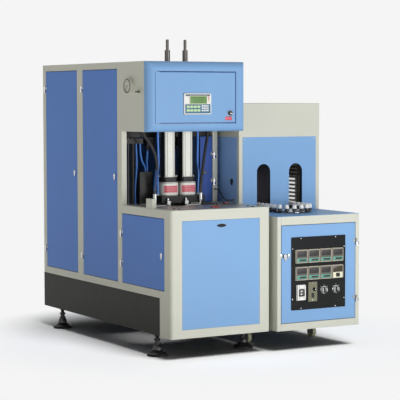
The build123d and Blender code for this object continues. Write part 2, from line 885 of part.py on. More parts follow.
# Inner door at the right of the bay, with its handle
inner_width = 100
inner_left = far - inner_width
inner_top = 1400
handle_rise = 200
handle_size = 34
inner_length = far - panel_gap - inner_left
inner_height = inner_top - table_height - panel_gap
inner_face = front_plane(far - panel_gap, tall, table_height + panel_gap)
inner_hinges = hinge_places(
    far - panel_gap + hinge_from_edge, tall - hinge_stand,
    table_height + panel_gap, inner_top, (0, 1, 0)
)
hinge_fixed += [plane.location * hinge_half(False, 1) for plane in inner_hinges]
inner_solids = [inner_face.location * tray(inner_length, inner_height).part]
inner_solids += [plane.location * hinge_half(True, 1) for plane in inner_hinges]
with BuildPart() as pull_handle:
    with BuildSketch(Plane.XZ.offset(-tall)):
        with Locations((inner_left + lock_from_edge, table_height + handle_rise)):
            RectangleRounded(handle_size, handle_size / 2, 5)
    extrude(amount=14)
    fillet(pull_handle.faces().sort_by(Axis.Y)[0].edges(), 3)
inner_solids.append(pull_handle.part)
keep_group(inner_solids, "inner_door")

# Pressure gauge with its needle, and the air valve with its lever
needle_shaft = 3
needle_length = 32
dial_depth = 6
gauge_plane = Plane(
    origin=(left, front + gauge_setback, gauge_height), x_dir=(0, -1, 0), z_dir=(-1, 0, 0)
)
with BuildPart() as gauge:
    with BuildSketch(gauge_plane):
        Circle(gauge_diameter / 2)
    extrude(amount=gauge_depth)
    fillet(gauge.faces().sort_by(Axis.X)[0].edges(), 3)
    with BuildSketch(gauge_plane.offset(gauge_depth)):
        Circle(gauge_diameter / 2 - gauge_bezel)
    extrude(amount=-dial_depth, mode=Mode.SUBTRACT)
    with BuildSketch(gauge_plane.offset(gauge_depth)):
        Circle(needle_shaft / 2 + running_gap)
    extrude(amount=-2 * dial_depth, mode=Mode.SUBTRACT)
valve_plane = Plane(
    origin=(left, front + valve_setback, valve_height), x_dir=(0, -1, 0), z_dir=(-1, 0, 0)
)
valve_body = 26
valve_body_length = 20
lever_shaft = 8
lever_length = 40
lever_ball = 14
with BuildPart() as air_valve:
    with BuildSketch(valve_plane):
        RegularPolygon(valve_body / 2, 6)
    extrude(amount=valve_body_length)
    with BuildSketch(valve_plane.offset(valve_body_length)):
        Circle(lever_shaft / 2 + running_gap)
    extrude(amount=-valve_body_length / 2, mode=Mode.SUBTRACT)
keep_group([gauge.part, air_valve.part], "gauge_and_air_valve")

zero_turn = 135
needle_plane = Plane(
    origin=(left - gauge_depth + dial_depth - face_gap, front + gauge_setback, gauge_height),
    x_dir=(0, -cos(radians(zero_turn)), sin(radians(zero_turn))),
    z_dir=(-1, 0, 0),
)
with BuildPart() as needle:
    with BuildSketch(needle_plane):
        Circle(needle_shaft)
        with BuildLine():
            Polyline(
                (-needle_shaft, 0), (-1, needle_length), (1, needle_length), (needle_shaft, 0),
                (-needle_shaft, 0),
            )
        make_face()
    extrude(amount=1)
    with BuildSketch(needle_plane):
        Circle(needle_shaft / 2)
    extrude(amount=-dial_depth / 2)
keep(needle.part, "gauge_needle")

with BuildPart() as lever:
    with BuildSketch(valve_plane.offset(valve_body_length / 2 + face_gap)):
        Circle(lever_shaft / 2)
    extrude(amount=valve_body_length / 2 + lever_shaft)
    with BuildSketch(Plane.XZ.offset(-front - valve_setback)):
        with Locations((left - valve_body_length - face_gap - lever_shaft / 2, valve_height)):
            Circle(lever_shaft / 2)
    extrude(amount=lever_length)
    with Locations((left - valve_body_length - face_gap - lever_shaft / 2,
                    front + valve_setback - lever_length, valve_height)):
        Sphere(lever_ball / 2)
keep(lever.part, "air_valve_lever")

# Heater unit: welded frame of the cabinet and the oven
h_in = h_left + heater_tube
h_far = h_right - heater_tube
foot_rail_top = cabinet_bottom + heater_foot_rail
cabinet_rail_bottom = cabinet_height - heater_top_rail
band_bottom = oven_height - oven_band
oven_in_y = oven_y + heater_tube
rear_in_y = h_back - heater_tube
heater_bars = [
    block(h_left, h_in, h_front, h_front + heater_tube, cabinet_bottom, cabinet_height, heater_radius),
    block(h_left, h_in, oven_y, oven_in_y, cabinet_bottom, band_bottom, heater_radius),
    block(h_left, h_in, rear_in_y, h_back, cabinet_bottom, band_bottom, heater_radius),
    block(h_left, h_in, h_front + heater_tube, oven_y, cabinet_bottom, foot_rail_top),
    block(h_left, h_in, oven_in_y, rear_in_y, cabinet_bottom, foot_rail_top),
    block(h_left, h_in, h_front + heater_tube, oven_y, cabinet_rail_bottom, cabinet_height),
    block(h_left, h_in, oven_in_y, rear_in_y, cabinet_rail_bottom, cabinet_height),
]
heater_bars = mirrored(heater_bars, h_middle)
heater_bars += [
    block(h_in, h_far, y, y + heater_tube, z0, z1)
    for y, z0, z1 in (
        (h_front, cabinet_bottom, foot_rail_top),
        (h_front, cabinet_rail_bottom, cabinet_height),
        (oven_y, cabinet_rail_bottom, cabinet_height),
        (rear_in_y, cabinet_bottom, foot_rail_top),
        (rear_in_y, cabinet_rail_bottom, cabinet_height),
    )
]
keep_group(heater_bars, "heater_frame")

# Beige band round the oven's top, a lid folded from one sheet
with BuildPart() as oven_cover:
    with BuildSketch(Plane.XY.offset(band_bottom)):
        with Locations((h_middle, (oven_y + h_back) / 2)):
            Rectangle(heater_width, h_back - oven_y)
    extrude(amount=oven_band)
    fillet(oven_cover.edges().group_by(Axis.Z)[-1], panel_radius)
    offset(amount=-sheet, openings=oven_cover.faces().sort_by(Axis.Z)[0])
keep(oven_cover.part, "oven_cover")

# Cabinet top, which is the oven's floor and the chain's bed too
chain_base = cabinet_height + sheet
front_axis_y = front + chain_setback
rear_axis_y = front_axis_y + links_per_side * chain_pitch
axis_ys = (front_axis_y, rear_axis_y)
wheel_shaft = 25
with BuildPart() as cabinet_top:
    with BuildSketch(Plane.XY.offset(cabinet_height)):
        with Locations((h_middle, (h_front + oven_y) / 2)):
            Rectangle(heater_width, oven_y - h_front)
        with Locations((h_middle, (oven_y + rear_in_y) / 2)):
            Rectangle(heater_width - 2 * heater_tube, rear_in_y - oven_y)
        with Locations(*[(h_middle, y) for y in axis_ys]):
            Circle(wheel_shaft / 2 + running_gap, mode=Mode.SUBTRACT)
    extrude(amount=sheet)
keep(cabinet_top.part, "cabinet_top")

# Blue oven front with its two arches, over the two strands of the chain
arch_xs = [h_middle - sprocket_radius, h_middle + sprocket_radius]
arch_spring = arch_top - arch_width / 2
with BuildPart() as oven_front:
    with BuildSketch(Plane.XZ.offset(-oven_y)):
        with Locations((h_middle, (chain_base + band_bottom) / 2)):
            Rectangle(heater_width - 2 * heater_tube, band_bottom - chain_base)
        for x in arch_xs:
            with Locations((x, (chain_base + arch_spring) / 2)):
                Rectangle(arch_width, arch_spring - chain_base, mode=Mode.SUBTRACT)
            with Locations((x, arch_spring)):
                Circle(arch_width / 2, mode=Mode.SUBTRACT)
    extrude(amount=-sheet)
keep(oven_front.part, "oven_front_panel")

# Flat closing sheets of both units, set flush between their bars
closing = [
    block(right - sheet, right, front + column_depth, tall, door_z0, sill_bottom),
    block(right - sheet, right, tall + tall_post_depth, mid_y, door_z0, top_z),
    block(right - sheet, right, mid_y + mid_post_depth, back - rear_post_depth, door_z0, top_z),
    block(inner, far, back - sheet, back, door_z0, top_z),
    block(h_in, h_far, h_back - sheet, h_back, foot_rail_top, cabinet_rail_bottom),
    block(h_in, h_far, h_back - sheet, h_back, cabinet_height, band_bottom),
    block(h_right - sheet, h_right, oven_in_y, rear_in_y, cabinet_height, band_bottom),
]
for x in (h_left, h_right - sheet):
    closing.append(block(x, x + sheet, h_front + heater_tube, oven_y, foot_rail_top, cabinet_rail_bottom))
    closing.append(block(x, x + sheet, oven_in_y, rear_in_y, foot_rail_top, cabinet_rail_bottom))

# Oven side cover with a quarter-turn lock, facing the blowing unit
cover_lock_from_edge = 60
cover_length = rear_in_y - oven_in_y
cover_height = band_bottom - cabinet_height
cover_place = (cover_lock_from_edge, cover_height * 0.42)
cover_face = side_plane(h_left, oven_in_y, cabinet_height)
with BuildPart() as oven_side:
    with BuildSketch():
        Rectangle(cover_length, cover_height, align=(Align.MIN, Align.MIN))
    extrude(amount=sheet)
side_sheet = bored(oven_side.part, [cover_place], lock_hole)
keep_group(closing + [cover_face.location * side_sheet], "closing_panels")
cover_lock = teardrop_lock(heater_tube + sheet / 2, lock_reach_past)
keep(cover_face.location * Pos(*cover_place, 0) * cover_lock, "oven_side_cover_lock")

# Heater cabinet door, hung at its right
heater_door_bottom = foot_rail_top + panel_gap
heater_door_length = h_far - h_in - 2 * panel_gap
heater_door_height = cabinet_rail_bottom - foot_rail_top - 2 * panel_gap
heater_lock_share = 0.69
heater_place = (heater_door_length - lock_from_edge, heater_door_height * heater_lock_share)
heater_face = front_plane(h_far - panel_gap, h_front, heater_door_bottom)
heater_hinges = hinge_places(
    h_far - panel_gap + hinge_from_edge, h_front - hinge_stand,
    heater_door_bottom, heater_door_bottom + heater_door_height, (0, 1, 0)
)
hinge_fixed += [plane.location * hinge_half(False, 1) for plane in heater_hinges]
heater_leaf = bored(
    tray(heater_door_length, heater_door_height).part, [heater_place], lock_hole
)
keep_group(
    [heater_face.location * heater_leaf]
    + [plane.location * hinge_half(True, 1) for plane in heater_hinges],
    "heater_door",
)
heater_lock = teardrop_lock(heater_tube + sheet / 2, lock_reach_past)
keep(heater_face.location * Pos(*heater_place, 0) * heater_lock, "heater_door_lock")
keep_group(hinge_fixed, "hinge_posts")

# Black control plate on that door, its meters and its other controls
def on_door(x, z, proud=0):
    """A plane on the door's face, or proud of it, looking to the operator."""
    return Plane(origin=(h_left + x, h_front - proud, z), x_dir=(1, 0, 0), z_dir=(0, -1, 0))


with BuildPart() as control_plate:
    with BuildSketch(on_door(plate_from_left + plate_width / 2, plate_lift + plate_height / 2)):
        RectangleRounded(plate_width, plate_height, 4)
    extrude(amount=plate_thickness)
keep(control_plate.part, "control_plate")

meter_window = 0.42
meters = []
for row in range(2):
    for column_index in range(4):
        meter_x = meter_from_left + meter_width / 2 + column_index * meter_pitch
        meter_z = meter_top - meter_height / 2 - row * meter_row_pitch
        with BuildPart() as meter:
            with BuildSketch(on_door(meter_x, meter_z, plate_thickness)):
                Rectangle(meter_width, meter_height)
            extrude(amount=meter_depth)
            with BuildSketch(on_door(meter_x, meter_z + meter_height / 5, plate_thickness + meter_depth)):
                Rectangle(meter_width * 0.84, meter_height * meter_window)
            extrude(amount=-meter_depth / 3, mode=Mode.SUBTRACT)
        meters.append(meter.part)

breaker_x = 180
breaker_z = 385
breaker_width = 62
breaker_height = 94
breaker_depth = 14
breaker_slot = 18
lever_pin = 6
governor_x = 273
governor_z = 386
governor_width = 69
governor_height = 129
governor_depth = 5
governor_knob_x = 284
governor_knob_z = 402
knob_xs = (366, 460)
knob_z = 392
dial_diameter = 42
dial_seat = 3
dial_shaft = 6
with BuildPart() as breaker:
    with BuildSketch(on_door(breaker_x, breaker_z, plate_thickness)):
        Rectangle(breaker_width, breaker_height)
    extrude(amount=breaker_depth)
    with BuildSketch(on_door(breaker_x, breaker_z, plate_thickness + breaker_depth)):
        Rectangle(breaker_slot, breaker_slot * 1.6)
    extrude(amount=-breaker_depth * 0.8, mode=Mode.SUBTRACT)
    with BuildSketch(Plane(origin=(h_left + breaker_x, h_front - plate_thickness - breaker_depth / 2,
                                   breaker_z), x_dir=(0, 1, 0), z_dir=(1, 0, 0))):
        Circle(lever_pin / 2 + running_gap)
    extrude(amount=breaker_slot / 2 + 4, both=True, mode=Mode.SUBTRACT)
with BuildPart() as governor:
    with BuildSketch(on_door(governor_x, governor_z, plate_thickness)):
        Rectangle(governor_width, governor_height)
        with Locations((governor_knob_x - governor_x, governor_knob_z - governor_z)):
            Circle(dial_shaft / 2 + running_gap, mode=Mode.SUBTRACT)
    extrude(amount=governor_depth)
devices = [breaker.part, governor.part]
for knob_x in knob_xs:
    with BuildPart() as seat:
        with BuildSketch(on_door(knob_x, knob_z, plate_thickness)):
            Circle(dial_diameter / 2 + 3)
            Circle(dial_shaft / 2 + running_gap, mode=Mode.SUBTRACT)
        extrude(amount=dial_seat)
    devices.append(seat.part)
keep_group(meters + devices, "panel_instruments")

with BuildPart() as breaker_lever:
    with BuildSketch(Plane(origin=(h_left + breaker_x, h_front - plate_thickness - breaker_depth / 2,
                                   breaker_z), x_dir=(0, 1, 0), z_dir=(1, 0, 0))):
        Circle(lever_pin / 2)
    extrude(amount=breaker_slot / 2 + 3, both=True)
    with BuildSketch(on_door(breaker_x, breaker_z, plate_thickness + breaker_depth / 2)):
        Rectangle(breaker_slot - 2, lever_pin)
    extrude(amount=breaker_depth)
keep(breaker_lever.part, "breaker_lever")


def dial(x, z, proud, diameter, height):
    """A round control knob with a grip bar, on a shaft in its seat."""
    with BuildPart() as knob:
        with BuildSketch(on_door(x, z, proud + face_gap)):
            Circle(diameter / 2)
        extrude(amount=height / 2)
        with BuildSketch(on_door(x, z, proud + face_gap + height / 2)):
            RectangleRounded(diameter / 3, diameter * 0.96, 2)
        extrude(amount=height / 2)
        with BuildSketch(on_door(x, z, proud + face_gap)):
            Circle(dial_shaft / 2)
        extrude(amount=-dial_seat)
    return knob.part


dial_height = 20
keep(dial(governor_knob_x, governor_knob_z, plate_thickness + governor_depth,
          dial_diameter * 0.6, dial_height * 0.8), "speed_knob")
for side_name, knob_x in zip(("left", "right"), knob_xs):
    keep(dial(knob_x, knob_z, plate_thickness + dial_seat, dial_diameter, dial_height),
         f"selector_knob_{side_name}")

# Lamps on the outer wall of each lane, their racks, reflectors, and the core
lamp_offset = arch_width / 2 + 8
lamp_y = oven_y + 70
rack_width = 16
rack_depth = 24
core_width = 2 * sprocket_radius - arch_width - 20
lamp_solids = []
rack_solids = []
for side in (-1, 1):
    lamp_x = h_middle + side * (sprocket_radius + lamp_offset)
    for index in range(lamps_per_wall):
        lamp_z = lamp_first + index * lamp_pitch
        lamp_solids.append(along_y(lamp_x, lamp_z, lamp_y, lamp_y + lamp_length, lamp_diameter))
    rack_top = lamp_first + lamps_per_wall * lamp_pitch
    for rack_y in (lamp_y - rack_depth, lamp_y + lamp_length):
        rack_solids.append(block(lamp_x - rack_width / 2, lamp_x + rack_width / 2,
                                 rack_y, rack_y + rack_depth, chain_base, rack_top))
    wall_x = lamp_x + side * (rack_width / 2 + sheet / 2)
    rack_solids.append(block(wall_x - sheet / 2, wall_x + sheet / 2,
                             lamp_y - rack_depth, lamp_y + lamp_length + rack_depth,
                             chain_base, arch_top))
core_end = rear_axis_y - sprocket_radius
rack_solids.append(block(h_middle - core_width / 2, h_middle + core_width / 2,
                         lamp_y - rack_depth, core_end, chain_base, arch_top + 60))
keep_group(lamp_solids, "lamps")
keep_group(rack_solids, "lamp_racks")

# Carrier chain: links of two levels round two wheels, a holder on each pin
link_width = 14
link_height = chain_height / 2
turn_links = sprocket_teeth // 2
turn_step = 2 * pi / sprocket_teeth


def pin_place(index):
    """The pin of that number, counted from the rear wheel down the left lane."""
    if index <= links_per_side:
        return (h_middle - sprocket_radius, rear_axis_y - index * chain_pitch)
    if index < links_per_side + turn_links:
        angle = pi + (index - links_per_side) * turn_step
        return (h_middle + sprocket_radius * cos(angle), front_axis_y + sprocket_radius * sin(angle))
    if index <= 2 * links_per_side + turn_links:
        step = index - links_per_side - turn_links
        return (h_middle + sprocket_radius, front_axis_y + step * chain_pitch)
    angle = (index - 2 * links_per_side - turn_links) * turn_step
    return (h_middle + sprocket_radius * cos(angle), rear_axis_y + sprocket_radius * sin(angle))


pin_count = 2 * (links_per_side + turn_links)
pins = [pin_place(index) for index in range(pin_count)]
links = []
for index in range(pin_count):
    x0, y0 = pins[index]
    x1, y1 = pins[(index + 1) % pin_count]
    level = chain_base + (index % 2) * link_height
    turn = degrees(atan2(y1 - y0, x1 - x0))
    with BuildPart() as link:
        with BuildSketch(Plane.XY.offset(level)):
            with Locations(Location(((x0 + x1) / 2, (y0 + y1) / 2, 0), (0, 0, turn))):
                Rectangle(chain_pitch + link_width * 0.9, link_width)
        extrude(amount=link_height)
    links.append(link.part)
keep_group(links, "carrier_chain")

holder_base = chain_base + chain_height
keep_group(
    [rod(x, y, holder_base, holder_base + holder_height, holder_diameter) for x, y in pins],
    "preform_holders",
)

# Carrier wheels, turning inside the chain just clear of its links
wheel_thickness = 10
wheel_lift = 2
wheel_boss = 60
wheel_radius = sprocket_radius * cos(pi / sprocket_teeth) - link_width / 2 - face_gap
wheel_shaft_length = 90
for side_name, axis_y in zip(("front", "rear"), axis_ys):
    with BuildPart() as wheel:
        with BuildSketch(Plane.XY.offset(chain_base + wheel_lift)):
            with Locations((h_middle, axis_y)):
                Circle(wheel_radius)
                with PolarLocations(wheel_radius * 0.62, 5):
                    Circle(wheel_radius * 0.17, mode=Mode.SUBTRACT)
        extrude(amount=wheel_thickness)
        with BuildSketch(Plane.XY.offset(chain_base + face_gap)):
            with Locations((h_middle, axis_y)):
                Circle(wheel_boss / 2)
        extrude(amount=wheel_thickness * 2)
        with BuildSketch(Plane.XY.offset(chain_base - wheel_shaft_length)):
            with Locations((h_middle, axis_y)):
                Circle(wheel_shaft / 2)
        extrude(amount=wheel_shaft_length + wheel_lift)
    keep(wheel.part, f"carrier_wheel_{side_name}")

# Hoses and their fittings, from the heads' plate up to the beam over them
blue_hose = 14
blue_from_end = 12
black_hose = 20
nipple = 22
nipple_length = 20
tee_width = 24
tee_depth = 26
tee_height = 46
tee_shift = -45
tee_drop = 30
elbow_bore_z = 8
elbow_pipe = 14
elbow_radius = 22
ferrule = 24
ferrule_lift = 20
ferrule_length = 45
plate_top = plate_base + head_plate_height
plate_front = head_y - head_plate_depth / 2
tee_y = plate_front - tee_depth / 2
tee_bottom = plate_base - tee_drop
ferrule_bottom = plate_base + ferrule_lift


def bend_radii(points):
    """The largest arc radius that the two runs at each inner point allow."""
    radii = []
    for before, at, after in zip(points, points[1:], points[2:]):
        turn = radians((at - before).get_angle(after - at))
        radii.append(0.45 * min((at - before).length, (after - at).length)
                     / (sin(turn / 2) / cos(turn / 2)))
    return radii


def hose(points, diameter, radii=None):
    """A round hose or pipe along straight runs joined by tangent arcs."""
    radii = radii or bend_radii(points)
    with BuildPart() as tube_part:
        with BuildLine() as route:
            FilletPolyline(*points, radius=radii)
        path = route.wires()[0]
        with BuildSketch(Plane(origin=path @ 0, z_dir=path % 0)):
            Circle(diameter / 2)
        sweep(path=path)
    expected = path.length * pi * diameter**2 / 4
    print("hose", diameter, "length", round(path.length),
          "radii", [round(radius) for radius in radii],
          "volume share", round(tube_part.part.volume / expected, 4))
    return tube_part.part


hose_top = beam_bottom - nipple_length
hose_foot = plate_top + nipple_length
left_blue_x = plate_x - head_plate_width / 2 + blue_from_end
right_blue_x = plate_x + head_plate_width / 2 - blue_from_end
blue_hoses = []
fittings = []
hose_rise = hose_top - hose_foot
for hose_x, sway in ((left_blue_x, -5), (right_blue_x, 6)):
    blue_hoses.append(hose([
        Vector(hose_x, head_y, hose_top),
        Vector(hose_x, head_y, hose_foot + 0.762 * hose_rise),
        Vector(hose_x - sway, head_y - 3, hose_foot + 0.476 * hose_rise),
        Vector(hose_x + sway, head_y - 3, hose_foot + 0.286 * hose_rise),
        Vector(hose_x, head_y, hose_foot + 0.107 * hose_rise),
        Vector(hose_x, head_y, hose_foot),
    ], blue_hose))
    fittings.append(rod(hose_x, head_y, plate_top, hose_foot, nipple))
    fittings.append(rod(hose_x, head_y, hose_top, beam_bottom, nipple))

# A black hose's points: across from its tee, then shares of its way back and up
black_routes = [
    [(-100.5, 0, 0), (-100.5, 0, 0.095), (-77.5, 0.216, 0.26), (-57.5, 0.466, 0.449),
     (-64.5, 0.716, 0.638), (-97.5, 0.886, 0.804), (-138.5, 1, 0.917), (-138.5, 1, 1)],
    [(112.5, 0, 0), (112.5, 0, 0.095), (135.5, 0.26, 0.26), (165.5, 0.58, 0.482),
     (197.5, 0.864, 0.733), (219.5, 1, 0.894), (219.5, 1, 1)],
]
black_foot = ferrule_bottom + ferrule_length
black_hoses = []
for side, head_x, route_points in zip((-1, 1), head_xs, black_routes):
    points = [
        Vector(head_x + tee_shift + across, tee_y + back_share * (head_y - tee_y),
               black_foot + up_share * (hose_top - black_foot))
        for across, back_share, up_share in route_points
    ]
    black_hoses.append(hose(points, black_hose))
    foot, head = points[0], points[-1]
    tee_x = head_x + tee_shift
    fittings.append(block(tee_x - tee_width / 2, tee_x + tee_width / 2,
                          plate_front - tee_depth, plate_front, tee_bottom, tee_bottom + tee_height))
    elbow_z = tee_bottom + tee_height / 2 - elbow_bore_z
    fittings.append(hose([
        Vector(tee_x + side * tee_width / 2, tee_y, elbow_z),
        Vector(foot.X, tee_y, elbow_z),
        Vector(foot.X, tee_y, ferrule_bottom),
    ], elbow_pipe, [elbow_radius]))
    fittings.append(rod(foot.X, tee_y, ferrule_bottom, ferrule_bottom + ferrule_length, ferrule))
    fittings.append(rod(head.X, head.Y, head.Z, beam_bottom, ferrule))

# Cable from the right post over the sill to the heater's side
cable = 9
gland = 16
gland_length = 12
# The cable's points: from the right side plane, the tall front and the table's top
cable_points = [
    (-22, -gland_length, 85), (-22, -42, 85), (-25, -78, 69), (-28, -114, 35),
    (-26, -150, 15), (-10, -172, 15), (unit_gap - 14, -172, 15),
]
cable_route = [Vector(right + x, tall + y, table_height + z) for x, y, z in cable_points]
post_gland = (cable_route[0].X, tall, cable_route[0].Z)
with BuildPart() as post_gland_part:
    with BuildSketch(Plane(origin=post_gland, x_dir=(1, 0, 0), z_dir=(0, -1, 0))):
        Circle(gland / 2)
    extrude(amount=gland_length)
black_hoses.append(hose(cable_route, cable))
cable_end = cable_route[-1]
with BuildPart() as side_gland_part:
    with BuildSketch(Plane(origin=(h_left, cable_end.Y, cable_end.Z), x_dir=(0, 1, 0), z_dir=(-1, 0, 0))):
        Circle(gland / 2)
    extrude(amount=h_left - cable_end.X)
fittings += [post_gland_part.part, side_gland_part.part]

# Hoses of the valve bay, from the bracket and the valves down to the box
bay_hose = 12
box_top = table_height + box_height
valve_drop = valve_bottom - 30
# Each bay hose's top and foot, then its points: from the left side, the tall front,
# and shares of its height
bay_routes = [
    (bracket_z, box_top, [(150, 20, 1), (150, 20, 0.82), (156, 23, 0.56), (172, 28, 0.31),
                          (198, 36, 0.184), (198, 36, 0)]),
    (valve_drop, box_top, [(208, 25, 1), (208, 25, 0.75), (206, 30, 0.5), (216, 44, 0.29),
                           (216, 44, 0)]),
    (bracket_z, table_height, [(120, 20, 1), (120, 20, 0.89), (126, 20, 0.68), (119, 22, 0.458),
                               (113, 28, 0.235), (117, 32, 0.087), (117, 32, 0)]),
    (valve_drop, table_height, [(417, 25, 1), (417, 25, 0.887), (409, 28, 0.69),
                                (395, 32, 0.437), (392, 34, 0.183), (392, 34, 0)]),
]
for hose_head, hose_end, route_points in bay_routes:
    blue_hoses.append(hose([
        Vector(left + x, tall + y, hose_end + share * (hose_head - hose_end))
        for x, y, share in route_points
    ], bay_hose))
keep_group(blue_hoses, "blue_hoses")
keep_group(black_hoses, "black_hoses")
keep_group(fittings, "hose_fittings")

# Castors: swivel forks at the heater's front, fixed forks at its back
castor_plate_side = 100
castor_pin = 16
crown_diameter = 56
crown_height = 8
fork_gap = 3
hub_diameter = 34
castor_plate_base = cabinet_bottom - fork_plate
crown_base = castor_plate_base - face_gap - crown_height
castor_xs = (h_left + castor_inset, h_right - castor_inset)
castor_ys = (front + castor_setback, h_back - castor_rear_inset)
axle_z = wheel_diameter / 2


def fork(x, y, trail):
    """A castor's fork: a round crown, two cheeks and the axle between them."""
    with BuildPart() as body:
        with BuildSketch(Plane.XY.offset(crown_base)):
            with Locations((x, y)):
                Circle(crown_diameter / 2)
        extrude(amount=crown_height)
        for side in (-1, 1):
            cheek_x = x + side * (wheel_width / 2 + fork_gap + fork_plate / 2)
            with BuildSketch(Plane(origin=(cheek_x, y, 0), x_dir=(0, 1, 0), z_dir=(1, 0, 0))):
                with Locations((trail, axle_z)):
                    Circle(castor_axle)
                with Locations((-hub_diameter / 2, crown_base), (hub_diameter / 2, crown_base)):
                    Circle(0.5)
                make_hull()
            extrude(amount=fork_plate / 2, both=True)
        with BuildSketch(Plane(origin=(x, y + trail, axle_z), x_dir=(0, 1, 0), z_dir=(1, 0, 0))):
            Circle(castor_axle / 2)
        extrude(amount=wheel_width / 2 + fork_gap, both=True)
    return body.part


castor_plates = []
for row, castor_y in enumerate(castor_ys):
    for side_name, castor_x in zip(("left", "right"), castor_xs):
        end_name = ("front", "rear")[row]
        swivels = row == 0
        with BuildPart() as castor_plate:
            with BuildSketch(Plane.XY.offset(castor_plate_base)):
                with Locations((castor_x, castor_y)):
                    Rectangle(castor_plate_side, castor_plate_side)
                    if swivels:
                        Circle(castor_pin / 2 + running_gap, mode=Mode.SUBTRACT)
            extrude(amount=fork_plate)
        castor_plates.append(castor_plate.part)
        trail = castor_trail if swivels else 0
        frame_fork = fork(castor_x, castor_y, trail)
        if swivels:
            pin_part = rod(castor_x, castor_y, crown_base, cabinet_bottom, castor_pin)
            keep(frame_fork + pin_part, f"castor_fork_{end_name}_{side_name}")
        else:
            neck = rod(castor_x, castor_y, crown_base, castor_plate_base, crown_diameter)
            castor_plates.append(frame_fork + neck)
        with BuildPart() as castor_wheel:
            with BuildSketch(Plane.YZ.offset(castor_x)):
                with Locations((castor_y + trail, axle_z)):
                    Circle(wheel_diameter / 2)
                    Circle(castor_axle / 2 + running_gap, mode=Mode.SUBTRACT)
            extrude(amount=wheel_width / 2, both=True)
            rims = castor_wheel.edges().filter_by(GeomType.CIRCLE).sort_by(SortBy.RADIUS)[-2:]
            fillet(rims, wheel_width / 5)
        keep(castor_wheel.part, f"castor_wheel_{end_name}_{side_name}")

# Spacers that dock the heater to the blowing unit's base
dock_height = 30
dock_length = 60
dock_from_back = 331
dock_base = plinth_bottom + 5
docks = [
    block(right, h_left, y, y + dock_length,
          dock_base, dock_base + dock_height)
    for y in (front + plinth_setback + 120, h_back - dock_from_back)
]
keep_group(castor_plates + docks, "castor_mounts")
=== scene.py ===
"""Looks of the blow moulding machine and its preform heater, in metres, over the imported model."""

import logging
from dataclasses import dataclass
from enum import Enum
from typing import Any, Optional, Sequence, Union

import bmesh
import bpy
import numpy as np
from mathutils import Matrix, Vector


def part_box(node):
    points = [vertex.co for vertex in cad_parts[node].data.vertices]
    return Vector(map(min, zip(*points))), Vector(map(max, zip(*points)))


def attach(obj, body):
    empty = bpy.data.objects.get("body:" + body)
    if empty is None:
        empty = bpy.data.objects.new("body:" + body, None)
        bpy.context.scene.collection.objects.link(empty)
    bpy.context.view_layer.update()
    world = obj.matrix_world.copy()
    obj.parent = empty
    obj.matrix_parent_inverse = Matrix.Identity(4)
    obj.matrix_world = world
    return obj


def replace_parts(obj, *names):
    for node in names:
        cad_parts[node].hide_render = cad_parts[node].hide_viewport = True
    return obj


log = logging.getLogger("blow_moulding_machine")

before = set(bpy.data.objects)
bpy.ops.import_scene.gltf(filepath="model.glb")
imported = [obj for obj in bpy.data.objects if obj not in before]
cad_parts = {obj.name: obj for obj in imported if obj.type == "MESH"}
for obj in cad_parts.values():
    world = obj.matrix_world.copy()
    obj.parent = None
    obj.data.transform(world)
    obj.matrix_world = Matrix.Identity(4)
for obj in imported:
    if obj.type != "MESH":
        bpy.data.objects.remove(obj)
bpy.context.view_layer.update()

Colour = tuple[float, float, float]
Point = tuple[float, float, float]
Pair = tuple[float, float]


def linear(red: int, green: int, blue: int) -> Colour:
    """Turns a screen colour of 0 to 255 into the linear colour that a shader takes."""
    share = np.array([red, green, blue]) / 255
    straight = np.where(share <= 0.04045, share / 12.92, ((share + 0.055) / 1.055) ** 2.4)
    return tuple(float(value) for value in straight)


class Face(Enum):
    """The way a panel looks, which says how its width and height lie in the frame."""

    FRONT = "front"
    LEFT = "left"

    def place(self, across: np.ndarray, up: np.ndarray, out: np.ndarray, at: Point) -> np.ndarray:
        """Turns distances across, up and out of a face into points of the frame.

        Args:
            across: Distances to the viewer's right.
            up: Distances up the face.
            out: Distances out of the face, towards the viewer.
            at: The face's own zero point.

        Returns:
            An array of points with three numbers each.
        """
        rows = {
            Face.FRONT: (across, -out, up),
            Face.LEFT: (-out, -across, up),
        }[self]
        return np.stack(np.broadcast_arrays(*rows), axis=-1) + np.array(at)


class Reading:
    """A shader socket that takes part in Python expressions."""

    def __init__(self, shader: "Shader", socket: Any) -> None:
        """Keeps the shader that the socket belongs to."""
        self.shader = shader
        self.socket = socket

    def _math(self, operation: str, first: Any, second: Any) -> "Reading":
        """Adds a Math node for two values."""
        return self.shader.node("Math", {"operation": operation}, {0: first, 1: second})

    def __add__(self, other: Any) -> "Reading":
        """Adds."""
        return self._math("ADD", self, other)

    def __radd__(self, other: Any) -> "Reading":
        """Adds, from the right."""
        return self._math("ADD", other, self)

    def __rsub__(self, other: Any) -> "Reading":
        """Subtracts from another value."""
        return self._math("SUBTRACT", other, self)

    def __mul__(self, other: Any) -> "Reading":
        """Multiplies."""
        return self._math("MULTIPLY", self, other)

    def between(self, low: float, high: float) -> "Reading":
        """Rises smoothly from 0 at low to 1 at high."""
        return self.shader.node("MapRange", {"interpolation_type": "SMOOTHSTEP"}, {0: self, 1: low, 2: high})


